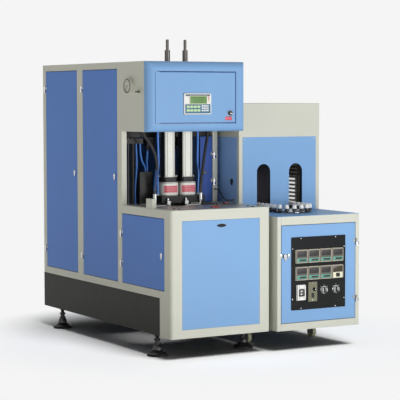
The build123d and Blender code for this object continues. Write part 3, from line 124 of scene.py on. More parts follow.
class Shader:
    """The nodes of a material, or of the world."""

    def __init__(self, owner: Any, kind: str = "Material") -> None:
        """Empties the owner's nodes and gives them an output of that kind."""
        self.owner = owner
        owner.use_nodes = True
        self.tree = owner.node_tree
        self.tree.nodes.clear()
        self.out = self.tree.nodes.new("ShaderNodeOutput" + kind)

    def node(self, kind: str, settings: Optional[dict] = None, sockets: Optional[dict] = None,
             output: Union[int, str] = 0) -> Reading:
        """Adds a node.

        Args:
            kind: The node's type without its ShaderNode prefix.
            settings: The node's own properties, set first.
            sockets: Values or links of its inputs, by name or number.
            output: The output that is wanted.

        Returns:
            The wanted output.
        """
        made = self.tree.nodes.new("ShaderNode" + kind)
        for key, value in (settings or {}).items():
            setattr(made, key, value)
        for key, value in (sockets or {}).items():
            self.feed(made.inputs[key], value)
        return Reading(self, made.outputs[output])

    def feed(self, socket: Any, value: Any) -> None:
        """Sets a socket to a number or colour, or links it."""
        if isinstance(value, Reading):
            self.tree.links.new(value.socket, socket)
        elif socket.type == "RGBA":
            socket.default_value = (*value, 1)
        else:
            socket.default_value = value

    def noise(self, scale: float, detail: float, rough: float = 0.5, stretch: Point = (1, 1, 1)) -> Reading:
        """Gives a cloudy value of 0 to 1 over the stretched Object coordinates."""
        spot = self.node("TexCoord", output="Object")
        where = self.node("Mapping", None, {"Vector": spot, "Scale": stretch})
        return self.node("TexNoise", None, {
            "Vector": where, "Scale": scale, "Detail": detail, "Roughness": rough,
        })

    def mix(self, share: Any, first: Any, second: Any) -> Reading:
        """Mixes two colours."""
        return self.node("Mix", {"data_type": "RGBA"}, {0: share, 6: first, 7: second}, 2)

    def bump(self, height: Reading, strength: float, distance: float) -> Reading:
        """Turns a height into a normal."""
        return self.node("Bump", None, {"Height": height, "Strength": strength, "Distance": distance})

    def finish(self, surface: Reading) -> Any:
        """Joins the surface to the output, and returns the material or world."""
        self.tree.links.new(surface.socket, self.out.inputs["Surface"])
        return self.owner

    def surface(self, sockets: dict) -> bpy.types.Material:
        """Finishes the material with a Principled surface."""
        return self.finish(self.node("BsdfPrincipled", None, sockets))


@dataclass(frozen=True)
class Finish:
    """A named finish that makes its material once; its colour is a screen's, of 0 to 255."""

    name: str
    colour: tuple[int, int, int]

    def tone(self, share: float = 1.0) -> Colour:
        """Gives the linear colour, made lighter or darker."""
        return tuple(min(1.0, value * share) for value in linear(*self.colour))

    def material(self) -> bpy.types.Material:
        """Returns the finish's material, making it at its first use."""
        found = bpy.data.materials.get(self.name)
        return found or self.make(Shader(bpy.data.materials.new(self.name)))

    def make(self, shader: Shader) -> bpy.types.Material:
        """Makes the material."""
        raise NotImplementedError


@dataclass(frozen=True)
class Enamel(Finish):
    """Baked powder paint: a fine orange peel, slight clouds and a duller band low down."""

    rough: float = 0.44
    clouds: float = 0.04
    peel: float = 0.05
    dust: float = 0.05
    dust_colour: Colour = linear(150, 145, 130)
    dust_heights: Pair = (0.05, 0.75)
    gloss: float = 0.14
    coat: float = 0.03

    def make(self, shader: Shader) -> bpy.types.Material:
        """Colour is the paint mixed with clouds; height is noise at the peel's size."""
        cloud = shader.noise(3.0, 4, 0.55)
        fine = shader.noise(60.0, 2)
        colour = shader.mix(cloud, self.tone(1 - self.clouds), self.tone(1 + self.clouds))
        spot = shader.node("TexCoord", output="Object")
        height = shader.node("SeparateXYZ", None, {"Vector": spot}, "Z")
        low = 1 - height.between(*self.dust_heights)
        settled = low * shader.noise(14.0, 5, 0.62).between(0.35, 0.75) * self.dust
        return shader.surface({
            "Base Color": shader.mix(settled, colour, self.dust_colour),
            "Roughness": self.rough + fine * 0.06 + settled * 0.8,
            "Specular IOR Level": self.gloss,
            "Coat Weight": self.coat,
            "Coat Roughness": 0.2,
            "Normal": shader.bump(shader.noise(420.0, 2), self.peel, 0.0006),
        })


@dataclass(frozen=True)
class Metal(Finish):
    """Bare or plated metal with grain along one axis."""

    rough: float = 0.25
    grain: Point = (1, 1, 30)
    depth: float = 0.12
    stain: float = 0.08
    metallic: float = 1.0

    def make(self, shader: Shader) -> bpy.types.Material:
        """Grain is noise squeezed across the brushing; stains are broad clouds."""
        lines = shader.noise(90.0, 3, 0.6, self.grain)
        cloud = shader.noise(9.0, 4, 0.6)
        tone = shader.mix(lines, self.tone(0.9), self.tone(1.04))
        return shader.surface({
            "Base Color": shader.mix(cloud.between(0.45, 0.8) * self.stain, tone, self.tone(0.45)),
            "Metallic": self.metallic,
            "Roughness": self.rough + lines * 0.14 + cloud * 0.06,
            "Normal": shader.bump(lines, self.depth, 0.0003),
        })


@dataclass(frozen=True)
class Moulded(Finish):
    """Moulded plastic or rubber with a fine spark-eroded grain."""

    rough: float = 0.42
    depth: float = 0.12
    wear: float = 0.06

    def make(self, shader: Shader) -> bpy.types.Material:
        """Grain is fine noise in height; colour varies a little in broad clouds."""
        cloud = shader.noise(22.0, 4, 0.6)
        grain = shader.noise(700.0, 2)
        return shader.surface({
            "Base Color": shader.mix(cloud, self.tone(1 - self.wear), self.tone(1 + self.wear)),
            "Roughness": self.rough + grain * 0.08 + cloud * 0.05,
            "Normal": shader.bump(grain, self.depth, 0.0003),
        })


@dataclass(frozen=True)
class Casting(Finish):
    """Painted iron with the sand's skin still in it."""

    def make(self, shader: Shader) -> bpy.types.Material:
        """Height is coarse noise; hollows are darker."""
        coarse = shader.noise(70.0, 5, 0.65)
        return shader.surface({
            "Base Color": shader.mix(coarse, self.tone(0.75), self.tone(1.25)),
            "Roughness": 0.55 + coarse * 0.2,
            "Normal": shader.bump(coarse, 0.35, 0.0012),
        })


@dataclass(frozen=True)
class Pane(Finish):
    """A smooth window, screen or quartz tube, with smears in its gloss; its glow is painted light."""

    rough: float = 0.08
    glow: float = 0.0

    def make(self, shader: Shader) -> bpy.types.Material:
        """Smears are clouds in roughness; the colour varies a little with them."""
        smear = shader.noise(40.0, 4, 0.6)
        colour = shader.mix(smear, self.tone(0.92), self.tone(1.05))
        sockets = {"Base Color": colour, "Roughness": self.rough + smear * 0.08, "IOR": 1.46}
        # The glow is painted light: emission that makes a part look lit that no lamp lights.
        if self.glow:
            sockets.update({"Emission Color": colour, "Emission Strength": self.glow})
        return shader.surface(sockets)


BLUE = Enamel("blue_powder_paint", (129, 171, 217))
# Painted shade: a darker copy of the blue paint for the doors on the left side, which face away from the
# light.
SIDE_BLUE_PAINTED_SHADE = Enamel("side_door_blue_painted_shade", (90, 132, 205))
# Painted light: a lighter copy of the blue paint for the bay's inside wall, where no lamp reaches.
PAINTED_LIGHT_BLUE = Enamel("painted_light_blue_paint", (150, 192, 250), rough=0.3)
# Painted shade: the blue paint darkened where it lies in shade, on the inner door and in the control door's
# gap.
PAINTED_SHADE_BLUE = Enamel("painted_shade_blue_paint", (52, 84, 158))
BEIGE = Enamel("beige_powder_paint", (207, 208, 196), rough=0.46)
PLINTH = Enamel("black_plinth_paint", (46, 47, 43), rough=0.5, dust=0.03)
PLATE_BLACK = Enamel("black_plate_paint", (14, 16, 18), rough=0.5, clouds=0.05, dust=0.02)
SATIN_BLACK = Enamel("satin_black_paint", (28, 28, 30), rough=0.35, clouds=0.12)
OVEN_GREY = Enamel("oven_wall_grey_paint", (72, 68, 78), rough=0.55)
OLIVE_PLATE = Enamel("olive_grey_plate", (122, 122, 100), rough=0.4)
MACHINE_GREY = Casting("grey_cast_iron", (62, 64, 70))
CHROME = Metal("bright_chrome", (198, 199, 202), rough=0.06, depth=0.03, stain=0.15)
ALUMINIUM = Metal("anodised_aluminium", (216, 217, 209), rough=0.45, grain=(30, 30, 1), metallic=0.25)
# Painted reflection: the chrome rods are darkened to stand for the dark surroundings that they reflect.
ROD_STEEL_PAINTED_REFLECTION = Metal("rod_steel_painted_dark_reflection", (84, 81, 79), rough=0.16, grain=(1, 1, 4), depth=0.03, stain=0.1)
STEEL = Metal("brushed_steel", (168, 168, 164), rough=0.24, grain=(1, 1, 24))
TABLE = Metal("ground_table_steel", (176, 177, 174), rough=0.26, grain=(1, 26, 1), stain=0.2)
ZINC = Metal("zinc_plate", (156, 157, 156), rough=0.34, grain=(6, 6, 6), stain=0.25)
DARK_STEEL = Metal("dark_oiled_steel", (70, 70, 72), rough=0.36, grain=(8, 8, 8), stain=0.3)
REFLECTOR = Metal("bright_reflector_sheet", (104, 102, 98), rough=0.45, stain=0.15, metallic=0.4)
SHIELD = Metal("bright_shield_sheet", (206, 200, 184), rough=0.4, metallic=0.5)
BLACK_GLOSS = Moulded("black_gloss_plastic", (22, 22, 24), rough=0.2, depth=0.03)
BLACK_PLASTIC = Moulded("black_plastic", (26, 26, 27))
METER_GREY = Moulded("meter_case_plastic", (78, 76, 70), rough=0.4)
BEZEL_EDGE = Moulded("meter_edge_plastic", (176, 164, 152), rough=0.4)
HOLDER_WHITE = Moulded("white_holder_plastic", (252, 252, 250), rough=0.4, wear=0.02)
WHITE_PLASTIC = Moulded("white_plastic", (234, 233, 226))
CREAM_PLASTIC = Moulded("cream_plastic", (224, 222, 196))
BLUE_RUBBER = Moulded("blue_tube", (62, 122, 208), rough=0.3, depth=0.04)
BLACK_RUBBER = Moulded("black_hose", (24, 24, 26), rough=0.45)
OLIVE = Moulded("olive_wheel", (150, 152, 124), rough=0.5)
LABEL_WHITE = Moulded("bare_label_white", (232, 230, 224), rough=0.35, wear=0.03)
LABEL_RED = Moulded("bare_label_red", (206, 60, 62), rough=0.35, wear=0.1)
LABEL_ROSE = Moulded("bare_label_rose", (214, 110, 128), rough=0.35, wear=0.08)
TEAL = Moulded("teal_key_field", (64, 110, 136), rough=0.45)
STRIP_NAVY = Moulded("terminal_top_strip", (46, 68, 98), rough=0.45)
STRIP_TEAL = Moulded("meter_teal_strip", (82, 152, 136), rough=0.4)
LCD = Moulded("green_display", (96, 140, 70), rough=0.4)
LCD_DARK = Moulded("display_rows", (70, 108, 50), rough=0.4)
SEGMENT = Moulded("display_segments", (70, 62, 58), rough=0.3)
KEY_GREEN = Moulded("pale_green_keys", (190, 220, 168), rough=0.45)
KEY_WHITE = Moulded("white_keys", (236, 238, 238), rough=0.45)
RED_PLASTIC = Moulded("red_plastic", (190, 44, 40), rough=0.35)
YELLOW_PLASTIC = Moulded("yellow_plastic", (222, 190, 70), rough=0.4)
DARK_RED = Moulded("dark_red_clip", (92, 20, 26), rough=0.35)
CERAMIC = Moulded("lamp_ceramic", (222, 218, 204), rough=0.6)
GASKET = Moulded("black_gasket", (14, 14, 15), rough=0.7)
# Painted shade, for grooves and hollows.
SHADE = Moulded("painted_shade_inside", (10, 11, 14), rough=0.7)
SMOKED = Pane("smoked_window", (12, 12, 14), rough=0.4)
BROWN_WINDOW = Pane("brown_window", (60, 50, 34), rough=0.15)
# Painted light: the lamps are off, and the tubes glow to paint their highlights.
QUARTZ_PAINTED_GLOW = Pane("quartz_lamp_tube_painted_glow", (246, 246, 244), rough=0.12, glow=0.65)
# Painted light: the dial glows so that it looks brighter than its light makes it.
DIAL_WHITE_PAINTED_GLOW = Pane("dial_white_painted_glow", (250, 248, 250), rough=0.3, glow=0.55)

# Directions in the frame, and the angle in degrees from which an edge stays hard
AHEAD, TO_LEFT, UP, DOWN = (0, -1, 0), (-1, 0, 0), (0, 0, 1), (0, 0, -1)
HARD_EDGE = 40


def unit(rows: np.ndarray) -> np.ndarray:
    """Gives each row of an array the length 1."""
    return rows / np.linalg.norm(rows, axis=1)[:, None]


def read(group: Any, name: str) -> np.ndarray:
    """Reads a point for each item of a mesh's group, such as its vertices."""
    flat = np.empty(len(group) * 3)
    group.foreach_get(name, flat)
    return flat.reshape(-1, 3)


def box(name: str) -> tuple[np.ndarray, np.ndarray, np.ndarray]:
    """Gives a CAD node's low corner, high corner and middle."""
    low, high = (np.array(corner, float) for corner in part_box(name))
    return low, high, (low + high) / 2


def turned(points: np.ndarray, angle: float) -> np.ndarray:
    """Turns flat points about their zero by an angle in degrees, anticlockwise."""
    turn = np.radians(angle)
    matrix = np.array([[np.cos(turn), -np.sin(turn)], [np.sin(turn), np.cos(turn)]])
    return points @ matrix.T


def stub(radius: float, length: float, fall: float = 0.001, drop: float = 0.001, start: float = 0.0) -> list:
    """Gives the profile of a short turned bar: its side, then a chamfer with that fall and drop."""
    return [(start, radius), (start + length, radius), (start + length + fall, radius - drop)]


def arched(foot: float, rise: float, middle: float, half: float, steps: int, sweep: float = 180) -> list:
    """Gives a ring's profile: a foot, then points on an arc over it.

    They lie at the rise times the sine, and the middle less half times the cosine, of the sweep.
    """
    turn = np.radians(np.linspace(0, sweep, steps))
    return [(0.0, foot)] + [(rise * np.sin(a), middle - half * np.cos(a)) for a in turn]


def link(made: bpy.types.Object) -> bpy.types.Object:
    """Puts an object into the scene."""
    bpy.context.scene.collection.objects.link(made)
    return made


def rounded_outline(width: float, height: float, radius: float, steps: int = 5) -> np.ndarray:
    """Gives a rectangle with round corners, anticlockwise, round its middle.

    Each corner is a quarter circle of the radius about a point the radius inside both edges.
    """
    radius = max(1e-5, min(radius, width / 2 - 1e-6, height / 2 - 1e-6))
    angles = np.linspace(0, np.pi / 2, steps + 1)
    starts = np.array([0, 1, 2, 3]) * np.pi / 2
    turn = (starts[:, None] + angles[None, :]).reshape(-1)
    side = np.repeat(np.array([[1, 1], [-1, 1], [-1, -1], [1, -1]]), steps + 1, axis=0)
    middle = side * (np.array([width, height]) / 2 - radius)
    return middle + radius * np.stack([np.cos(turn), np.sin(turn)], axis=-1)


class Shape:
    """Gathers surfaces of several finishes into one piece."""

    def __init__(self, name: str) -> None:
        """Starts an empty piece."""
        self.name = name
        self.points: list[np.ndarray] = []
        self.faces: list[tuple[int, ...]] = []
        self.marks: list[int] = []
        self.finishes: list[Finish] = []
        self.count = 0

    def add(self, points: np.ndarray, faces: Sequence, finish: Finish) -> None:
        """Adds one surface with its finish."""
        if finish not in self.finishes:
            self.finishes.append(finish)
        flat = np.asarray(points, float).reshape(-1, 3)
        moved = [tuple(int(number) + self.count for number in face) for face in faces]
        self.points.append(flat)
        self.faces.extend(moved)
        self.marks.extend([self.finishes.index(finish)] * len(moved))
        self.count += len(flat)

    def rings(self, rings: np.ndarray, finish: Finish, caps: bool = True) -> None:
        """Adds a closed surface through rings of points, from the back to the front.

        Args:
            rings: An array of rings, points and coordinates.
            finish: The surface's finish.
            caps: Whether the first and last ring are closed by a flat face.
        """
        rows, columns = rings.shape[:2]
        row, column = np.meshgrid(np.arange(rows - 1) * columns, np.arange(columns), indexing="ij")
        after = (column + 1) % columns
        corners = (row + column, row + after, row + columns + after, row + columns + column)
        faces = [tuple(face) for face in np.stack(corners, axis=-1).reshape(-1, 4)]
        if caps:
            faces.append(tuple(reversed(range(columns))))
            faces.append(tuple(range((rows - 1) * columns, rows * columns)))
        self.add(rings, faces, finish)

    def pad(self, face: Face, at: Point, outline: np.ndarray, depth: float, bevel: float,
            finish: Finish) -> None:
        """Adds a raised plate with a rounded front edge.

        The outline is carried outwards, and over the bevel it shrinks along a quarter circle.

        Args:
            face: The way it looks.
            at: Its middle on the surface that carries it.
            outline: Points across and up, anticlockwise.
            depth: How far it stands out.
            bevel: Radius of its front edge.
            finish: Its finish.
        """
        turn = np.linspace(0, np.pi / 2, 4)
        inset = np.concatenate([[0.0], bevel * (1 - np.cos(turn))])
        out = np.concatenate([[0.0], depth - bevel + bevel * np.sin(turn)])
        half = np.abs(outline).max(axis=0)
        share = 1 - inset[:, None] / half[None, :]
        flat = outline[None, :, :] * share[:, None, :]
        points = face.place(flat[..., 0], flat[..., 1], out[:, None] + 0 * flat[..., 0], at)
        self.rings(points, finish)

    def plates(self, origin: Point, rows: Sequence[tuple]) -> None:
        """Adds raised plates on a front face.

        Args:
            origin: A point of the face.
            rows: For each, its middle's distance across, up and out from the origin, the numbers of
                its rounded outline, its depth, its bevel and its finish.
        """
        for across, up, out, size, depth, bevel, finish in rows:
            at = (origin[0] + across, origin[1] - out, origin[2] + up)
            self.pad(Face.FRONT, at, rounded_outline(*size), depth, bevel, finish)

    def lathe(self, at: Point, axis: Point, profile: Sequence, finish: Finish, sides: int,
              hollow: bool = False) -> None:
        """Adds a turned piece: each ring is the profile's radius about the axis at its distance.

        Args:
            at: The axis's zero point.
            axis: The axis's direction.
            profile: Pairs of distance along the axis and radius.
            finish: Its finish.
            sides: Points to a ring; six gives a hexagon.
            hollow: Whether it is a ring, whose profile closes on itself, and not a solid piece.
        """
        if hollow:
            profile = [*profile, profile[0]]
        along, radius = np.array(profile, float).T
        way = np.array(axis, float) / np.linalg.norm(axis)
        first = np.cross(way, [0, 0, 1] if abs(way[2]) < 0.9 else [1, 0, 0])
        first /= np.linalg.norm(first)
        second = np.cross(way, first)
        turn = np.arange(sides) * 2 * np.pi / sides
        ring = np.cos(turn)[:, None] * first + np.sin(turn)[:, None] * second
        points = (np.array(at) + along[:, None, None] * way
                  + np.maximum(radius, 1e-5)[:, None, None] * ring[None])
        self.rings(points, finish, not hollow)

    def turnings(self, at: Point, axis: Point, rows: Sequence[tuple]) -> None:
        """Adds turned pieces on one axis, each from its profile, finish and points to a ring."""
        for profile, finish, sides in rows:
            self.lathe(at, axis, profile, finish, sides)

    def tube(self, path: np.ndarray, radius: float, finish: Finish, sides: int) -> None:
        """Adds a round bar: a circle square to the path at each of its points.

        Args:
            path: The points that it follows.
            radius: Its radius.
            finish: Its finish.
            sides: Points to a ring.
        """
        way = unit(np.gradient(path, axis=0))
        guide = np.eye(3)[np.argmin(np.abs(way).mean(axis=0))]
        first = unit(np.cross(way, guide))
        second = np.cross(way, first)
        turn = (np.arange(sides) * 2 * np.pi / sides)[None, :, None]
        ring = np.cos(turn) * first[:, None] + np.sin(turn) * second[:, None]
        self.rings(path[:, None] + radius * ring, finish)

    def bar(self, low: Point, high: Point, finish: Finish, bevel: float) -> None:
        """Adds a block between two corners with rounded long edges."""
        low, high = np.array(low, float), np.array(high, float)
        middle, (width, depth, height) = (low + high) / 2, high - low
        self.plates((middle[0], high[1], middle[2]),
                    [(0, 0, 0, (width, height, bevel, 2), depth, min(bevel, depth / 3), finish)])

    def screw(self, at: Point, diameter: float, finish: Finish, cross: bool = True) -> None:
        """Adds a screw head on a front face: a low dome, with a dark cross recess."""
        radius = diameter / 2
        turn = np.linspace(0, np.pi / 2, 5)
        profile = [(0.0, radius)] + [
            (radius * (0.25 + 0.35 * np.sin(a)), radius * (0.35 + 0.65 * np.cos(a))) for a in turn
        ]
        self.lathe(at, AHEAD, profile, finish, 16)
        if cross:
            self.plates(at, [
                (0, 0, 0.6 * radius, (width * radius, height * radius, 0.05 * radius, 1),
                 0.03 * radius, 0.01 * radius, SATIN_BLACK) for width, height in ((1.1, 0.24), (0.24, 1.1))
            ])

    def build(self, body: str, slot: str) -> bpy.types.Object:
        """Makes the piece's object, which rides on a body.

        Args:
            body: The CAD body that carries it.
            slot: The record's material slot for the piece; it is not used.

        Returns:
            The new object.
        """
        mesh = bpy.data.meshes.new(self.name)
        mesh.from_pydata(np.concatenate(self.points), [], self.faces)
        for finish in self.finishes:
            mesh.materials.append(finish.material())
        mesh.polygons.foreach_set("material_index", self.marks)
        tidy = bmesh.new()
        tidy.from_mesh(mesh)
        bmesh.ops.recalc_face_normals(tidy, faces=tidy.faces)
        tidy.to_mesh(mesh)
        tidy.free()
        mesh.shade_smooth()
        mesh.set_sharp_from_angle(angle=np.radians(HARD_EDGE))
        mesh.update()
        made = link(bpy.data.objects.new(self.name, mesh))
        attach(made, body)
        log.info("piece %s on %s, %d faces", self.name, body, len(self.faces))
        return made


@dataclass
class Studio:
    """Camera, floor, lamps and pale surroundings."""

    eye: Point = (-4.763, -8.783, 1.6535)
    yaw: float = 30.0635
    pitch: float = 3.7
    roll: float = -0.0934
    focal_px: float = 1557.83
    image_px: float = 400
    sensor: float = 36.0
    backdrop: Colour = linear(245, 245, 245)
    sky: Colour = (0.97, 0.985, 1.0)
    sky_strength: float = 0.14
    lamps: tuple[tuple[str, Point, Point, float, float, Colour], ...] = (
        ("key", (3.0, -7.0, 1.0), (0.6, 0.0, 0.8), 2.6, 236, (1, 1, 1)),
        ("front_fill", (0.0, -8.0, 0.9), (0.5, 0.0, 0.6), 3.0, 75, (1, 1, 1)),
        ("low_fill", (0.95, -2.5, 0.36), (0.6, 0.0, 0.36), 0.6, 10, (1, 1, 1)),
        ("side_fill", (-6.5, -3.0, 2.0), (0.0, 0.5, 1.0), 4.0, 56, (1.0, 0.93, 0.78)),
        ("top", (0.9, 0.0, 6.0), (0.7, 0.4, 0.0), 4.5, 50, (1, 1, 1)),
    )
    sun_way: Point = (-0.02, 0.55, -1.0)
    sun_angle: float = 26
    sun_strength: float = 2.95
    floor_centre: Point = (0.65, 0.5, 0.0)
    floor_half: float = 14.0
    floor_fade: Pair = (1.15, 1.95)
    floor_greys: Pair = (0.32, 0.90)

    def put(self, name: str, data: Any, turn: Matrix, at: Point) -> bpy.types.Object:
        """Adds a camera or lamp, turned and placed."""
        holder = link(bpy.data.objects.new(name, data))
        holder.matrix_world = Matrix.Translation(at) @ turn.to_4x4()
        return holder

    def camera(self) -> None:
        """Sets the camera at the photograph's place and lens."""
        lens = bpy.data.cameras.new("studio_camera")
        lens.sensor_width = self.sensor
        lens.lens = self.focal_px * self.sensor / self.image_px
        lens.clip_end = 100
        yaw, pitch, roll = np.radians([self.yaw, self.pitch, self.roll])
        ahead = np.array([np.sin(yaw) * np.cos(pitch), np.cos(yaw) * np.cos(pitch), -np.sin(pitch)])
        right = np.array([np.cos(yaw), -np.sin(yaw), 0])
        up = np.cross(right, ahead)
        across = right * np.cos(roll) + up * np.sin(roll)
        above = up * np.cos(roll) - right * np.sin(roll)
        turn = Matrix(np.stack([across, above, -ahead], axis=1).tolist())
        bpy.context.scene.camera = self.put("studio_camera", lens, turn, self.eye)

    def surroundings(self) -> None:
        """Lights the object softly, and shows plain pale surroundings to camera, gloss and glass."""
        world = bpy.data.worlds.new("studio")
        bpy.context.scene.world = world
        shader = Shader(world, "World")
        seen = 0.0
        for ray in ("Is Camera Ray", "Is Glossy Ray", "Is Transmission Ray"):
            kind = shader.node("LightPath", output=ray)
            seen = shader.node("Math", {"operation": "MAXIMUM"}, {0: seen, 1: kind})
        sky = shader.node("Background", None, {"Color": self.sky, "Strength": self.sky_strength})
        pale = shader.node("Background", None, {"Color": self.backdrop})
        shader.finish(shader.node("MixShader", None, {0: seen, 1: sky, 2: pale}))

    def lamp(self, kind: str, name: str, at: Point, way: Vector, power: float,
             takers: bpy.types.Collection) -> bpy.types.Light:
        """Adds an area lamp or sun that shines in a direction, on the takers only.

        Its power is in watts, or a sun's light in watts a square metre. Its data is returned.
        """
        light = bpy.data.lights.new(name, kind)
        light.energy = power
        holder = self.put(name, light, way.to_track_quat("-Z", "Y").to_matrix(), at)
        holder.light_linking.receiver_collection = takers
        return light

    def floor(self, others: bpy.types.Collection) -> bpy.types.Collection:
        """Adds the pale floor, which keeps the shadow near the machine and fades to the backdrop.

        Args:
            others: The collection of what the other lamps light, from which the floor is left out.

        Returns:
            A collection that holds the floor alone.
        """
        rows = np.array([-self.floor_half, self.floor_half])
        x, y = np.meshgrid(rows, rows, indexing="ij")
        points = np.stack([x, y, 0 * x - 0.0008], axis=-1).reshape(-1, 3) + np.array(self.floor_centre)
        mesh = bpy.data.meshes.new("floor")
        mesh.from_pydata(points, [], [(0, 2, 3, 1)])
        shader = Shader(bpy.data.materials.new("floor_sheet"))
        spot = shader.node("TexCoord", output="Object")
        away = shader.node("VectorMath", {"operation": "DISTANCE"}, {0: spot, 1: self.floor_centre}, "Value")
        seen = shader.node("LightPath", output="Is Camera Ray")
        white = shader.mix(seen, *((grey,) * 3 for grey in self.floor_greys))
        lit = shader.node("BsdfDiffuse", None, {"Color": white})
        glow = shader.node("Emission", None, {"Color": self.backdrop, "Strength": 1.0})
        mixed = shader.node("MixShader", None, {0: away.between(*self.floor_fade), 1: lit, 2: glow})
        mesh.materials.append(shader.finish(mixed))
        sheet = bpy.data.objects.new("floor", mesh)
        group = bpy.data.collections.new("floor_only")
        bpy.context.scene.collection.children.link(group)
        group.objects.link(sheet)
        others.objects.link(sheet)
        others.collection_objects[0].light_linking.link_state = "EXCLUDE"
        return group

    def build(self) -> None:
        """Sets up the whole studio. Only the sun lights the floor, and draws its shadow."""
        bpy.context.scene.view_settings.view_transform = "Standard"
        self.camera()
        self.surroundings()
        others = bpy.data.collections.new("all_but_the_floor")
        ground = self.floor(others)
        for name, at, aim, size, power, colour in self.lamps:
            light = self.lamp("AREA", name, at, Vector(aim) - Vector(at), power, others)
            light.size = size
            light.color = colour
        sun = self.lamp("SUN", "floor_light", (0, 0, 0), Vector(self.sun_way), self.sun_strength, ground)
        sun.angle = np.radians(self.sun_angle)
        log.info("studio ready")


FAR = 9.0
ANY: Pair = (-FAR, FAR)


@dataclass
class Zone:
    """Part of a CAD node that has a finish of its own: the faces whose middles lie in a box."""

    finish: Finish
    x: Pair = ANY
    y: Pair = ANY
    z: Pair = ANY


@dataclass
class Dressing:
    """Finishes of the CAD nodes, whose names are split at blanks, and of zones on them."""

    nodes: tuple[tuple[Finish, str], ...] = (
        (BLUE, "front_panel head_cover control_door cabinet_top oven_front_panel closing_panels heater_door"),
        (SIDE_BLUE_PAINTED_SHADE, "rear_tall_door front_tall_door lower_door"),
        # The inner door takes the darkened blue of painted shade.
        (PAINTED_SHADE_BLUE, "inner_door"),
        (BEIGE, "main_frame head_panels heater_frame oven_cover gauge_and_air_valve"),
        (PLINTH, "base_plinth"),
        (SATIN_BLACK, "levelling_feet head_blocks valve_bay"),
        (TABLE, "table_plate"),
        (CHROME, "rear_tall_door_lock front_tall_door_lock lower_door_lock heater_door_lock hinge_posts"),
        (WHITE_PLASTIC, "controller preform_holders"),
        (BLACK_GLOSS, "control_door_knob oven_side_cover_lock speed_knob selector_knob_left"
                      " selector_knob_right"),
        (ALUMINIUM, "blow_cylinders"),
        (ROD_STEEL_PAINTED_REFLECTION, "stretch_rod_left stretch_rod_right"),
        (DARK_STEEL, "seal_nozzle_left seal_nozzle_right air_valve_lever carrier_chain"),
        (MACHINE_GREY, "clamp_frame moving_platen"),
        (BLACK_PLASTIC, "gauge_needle breaker_lever"),
        (PLATE_BLACK, "control_plate"),
        (METER_GREY, "panel_instruments"),
        (QUARTZ_PAINTED_GLOW, "lamps"),
        (REFLECTOR, "lamp_racks"),
        (STEEL, "carrier_wheel_front carrier_wheel_rear"),
        (ZINC, "hose_fittings castor_fork_front_left castor_fork_front_right castor_mounts"),
        (OLIVE, "castor_wheel_front_left castor_wheel_front_right castor_wheel_rear_left"
                " castor_wheel_rear_right"),
    )
    zones: tuple[tuple[str, tuple[Zone, ...]], ...] = (
        ("rear_tall_door front_tall_door lower_door", (Zone(CHROME, x=(-FAR, -0.0453)),)),
        ("heater_door", (Zone(ZINC, y=(-FAR, -0.3053)),)),
        ("blow_cylinders", (
            # Painted shade: the left face of each barrel, which lies in shade, is painted satin black.
            Zone(SATIN_BLACK, (0.2190, 0.2200), (0.270, 0.372), (1.14, 1.47)),
            Zone(SATIN_BLACK, (0.3540, 0.3550), (0.270, 0.372), (1.14, 1.47)),
            Zone(ROD_STEEL_PAINTED_REFLECTION, z=(1.83, FAR)),
        )),
        ("inner_door", (Zone(CHROME, (0.60, FAR), (-FAR, 0.4036)),
                        Zone(BLACK_PLASTIC, (-FAR, 0.602), (-FAR, 0.4036)))),
        # The bay's inside wall is painted lighter, as painted light.
        ("closing_panels", (Zone(PAINTED_LIGHT_BLUE, (0.7245, 0.7275), (0.2, 1.46), (0.88, 1.40)),
                            Zone(BEIGE, (0.7245, 0.7275), (-0.28, 0.18), (0.18, 0.84)))),
        ("lamp_racks", (Zone(OVEN_GREY, x=(-FAR, 1.0)),)),
        ("panel_instruments", (
            Zone(WHITE_PLASTIC, x=(0.85, 0.96), z=(0.30, 0.46)),
            Zone(OLIVE_PLATE, x=(0.9635, 1.0325), z=(0.321, 0.451)),
            Zone(ZINC, x=(1.06, 1.25), z=(0.34, 0.43)),
        )),
        ("selector_knob_left selector_knob_right", (Zone(ZINC, y=(-0.3235, FAR)),)),
    )

    def dress(self, name: str, finish: Finish) -> None:
        """Gives a node its finish."""
        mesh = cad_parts[name].data
        mesh.materials.clear()
        mesh.materials.append(finish.material())

    def mark(self, name: str, zones: Sequence[Zone]) -> None:
        """Gives a node's zones their finishes; a later zone wins."""
        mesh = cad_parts[name].data
        corners = np.empty(len(mesh.loops), int)
        mesh.loops.foreach_get("vertex_index", corners)
        middles = read(mesh.vertices, "co")[corners.reshape(-1, 3)].mean(axis=1)
        marks = np.zeros(len(mesh.polygons), int)
        for zone in zones:
            mesh.materials.append(zone.finish.material())
            reach = np.array([zone.x, zone.y, zone.z])
            inside = ((middles >= reach[:, 0]) & (middles <= reach[:, 1])).all(axis=1)
            marks[inside] = len(mesh.materials) - 1
        mesh.polygons.foreach_set("material_index", marks)
        mesh.update()

    def build(self) -> None:
        """Dresses every CAD node."""
        for finish, names in self.nodes:
            for name in names.split():
                self.dress(name, finish)
        for names, zones in self.zones:
            for name in names.split():
                self.mark(name, zones)
        log.info("nodes dressed")


@dataclass(frozen=True)
class HoseRun:
    """A hose's name, diameter in metres, finish, and the points in mm that its line is drawn towards."""

    name: str
    diameter: float
    finish: Finish
    points: tuple[tuple[int, int, int], ...]


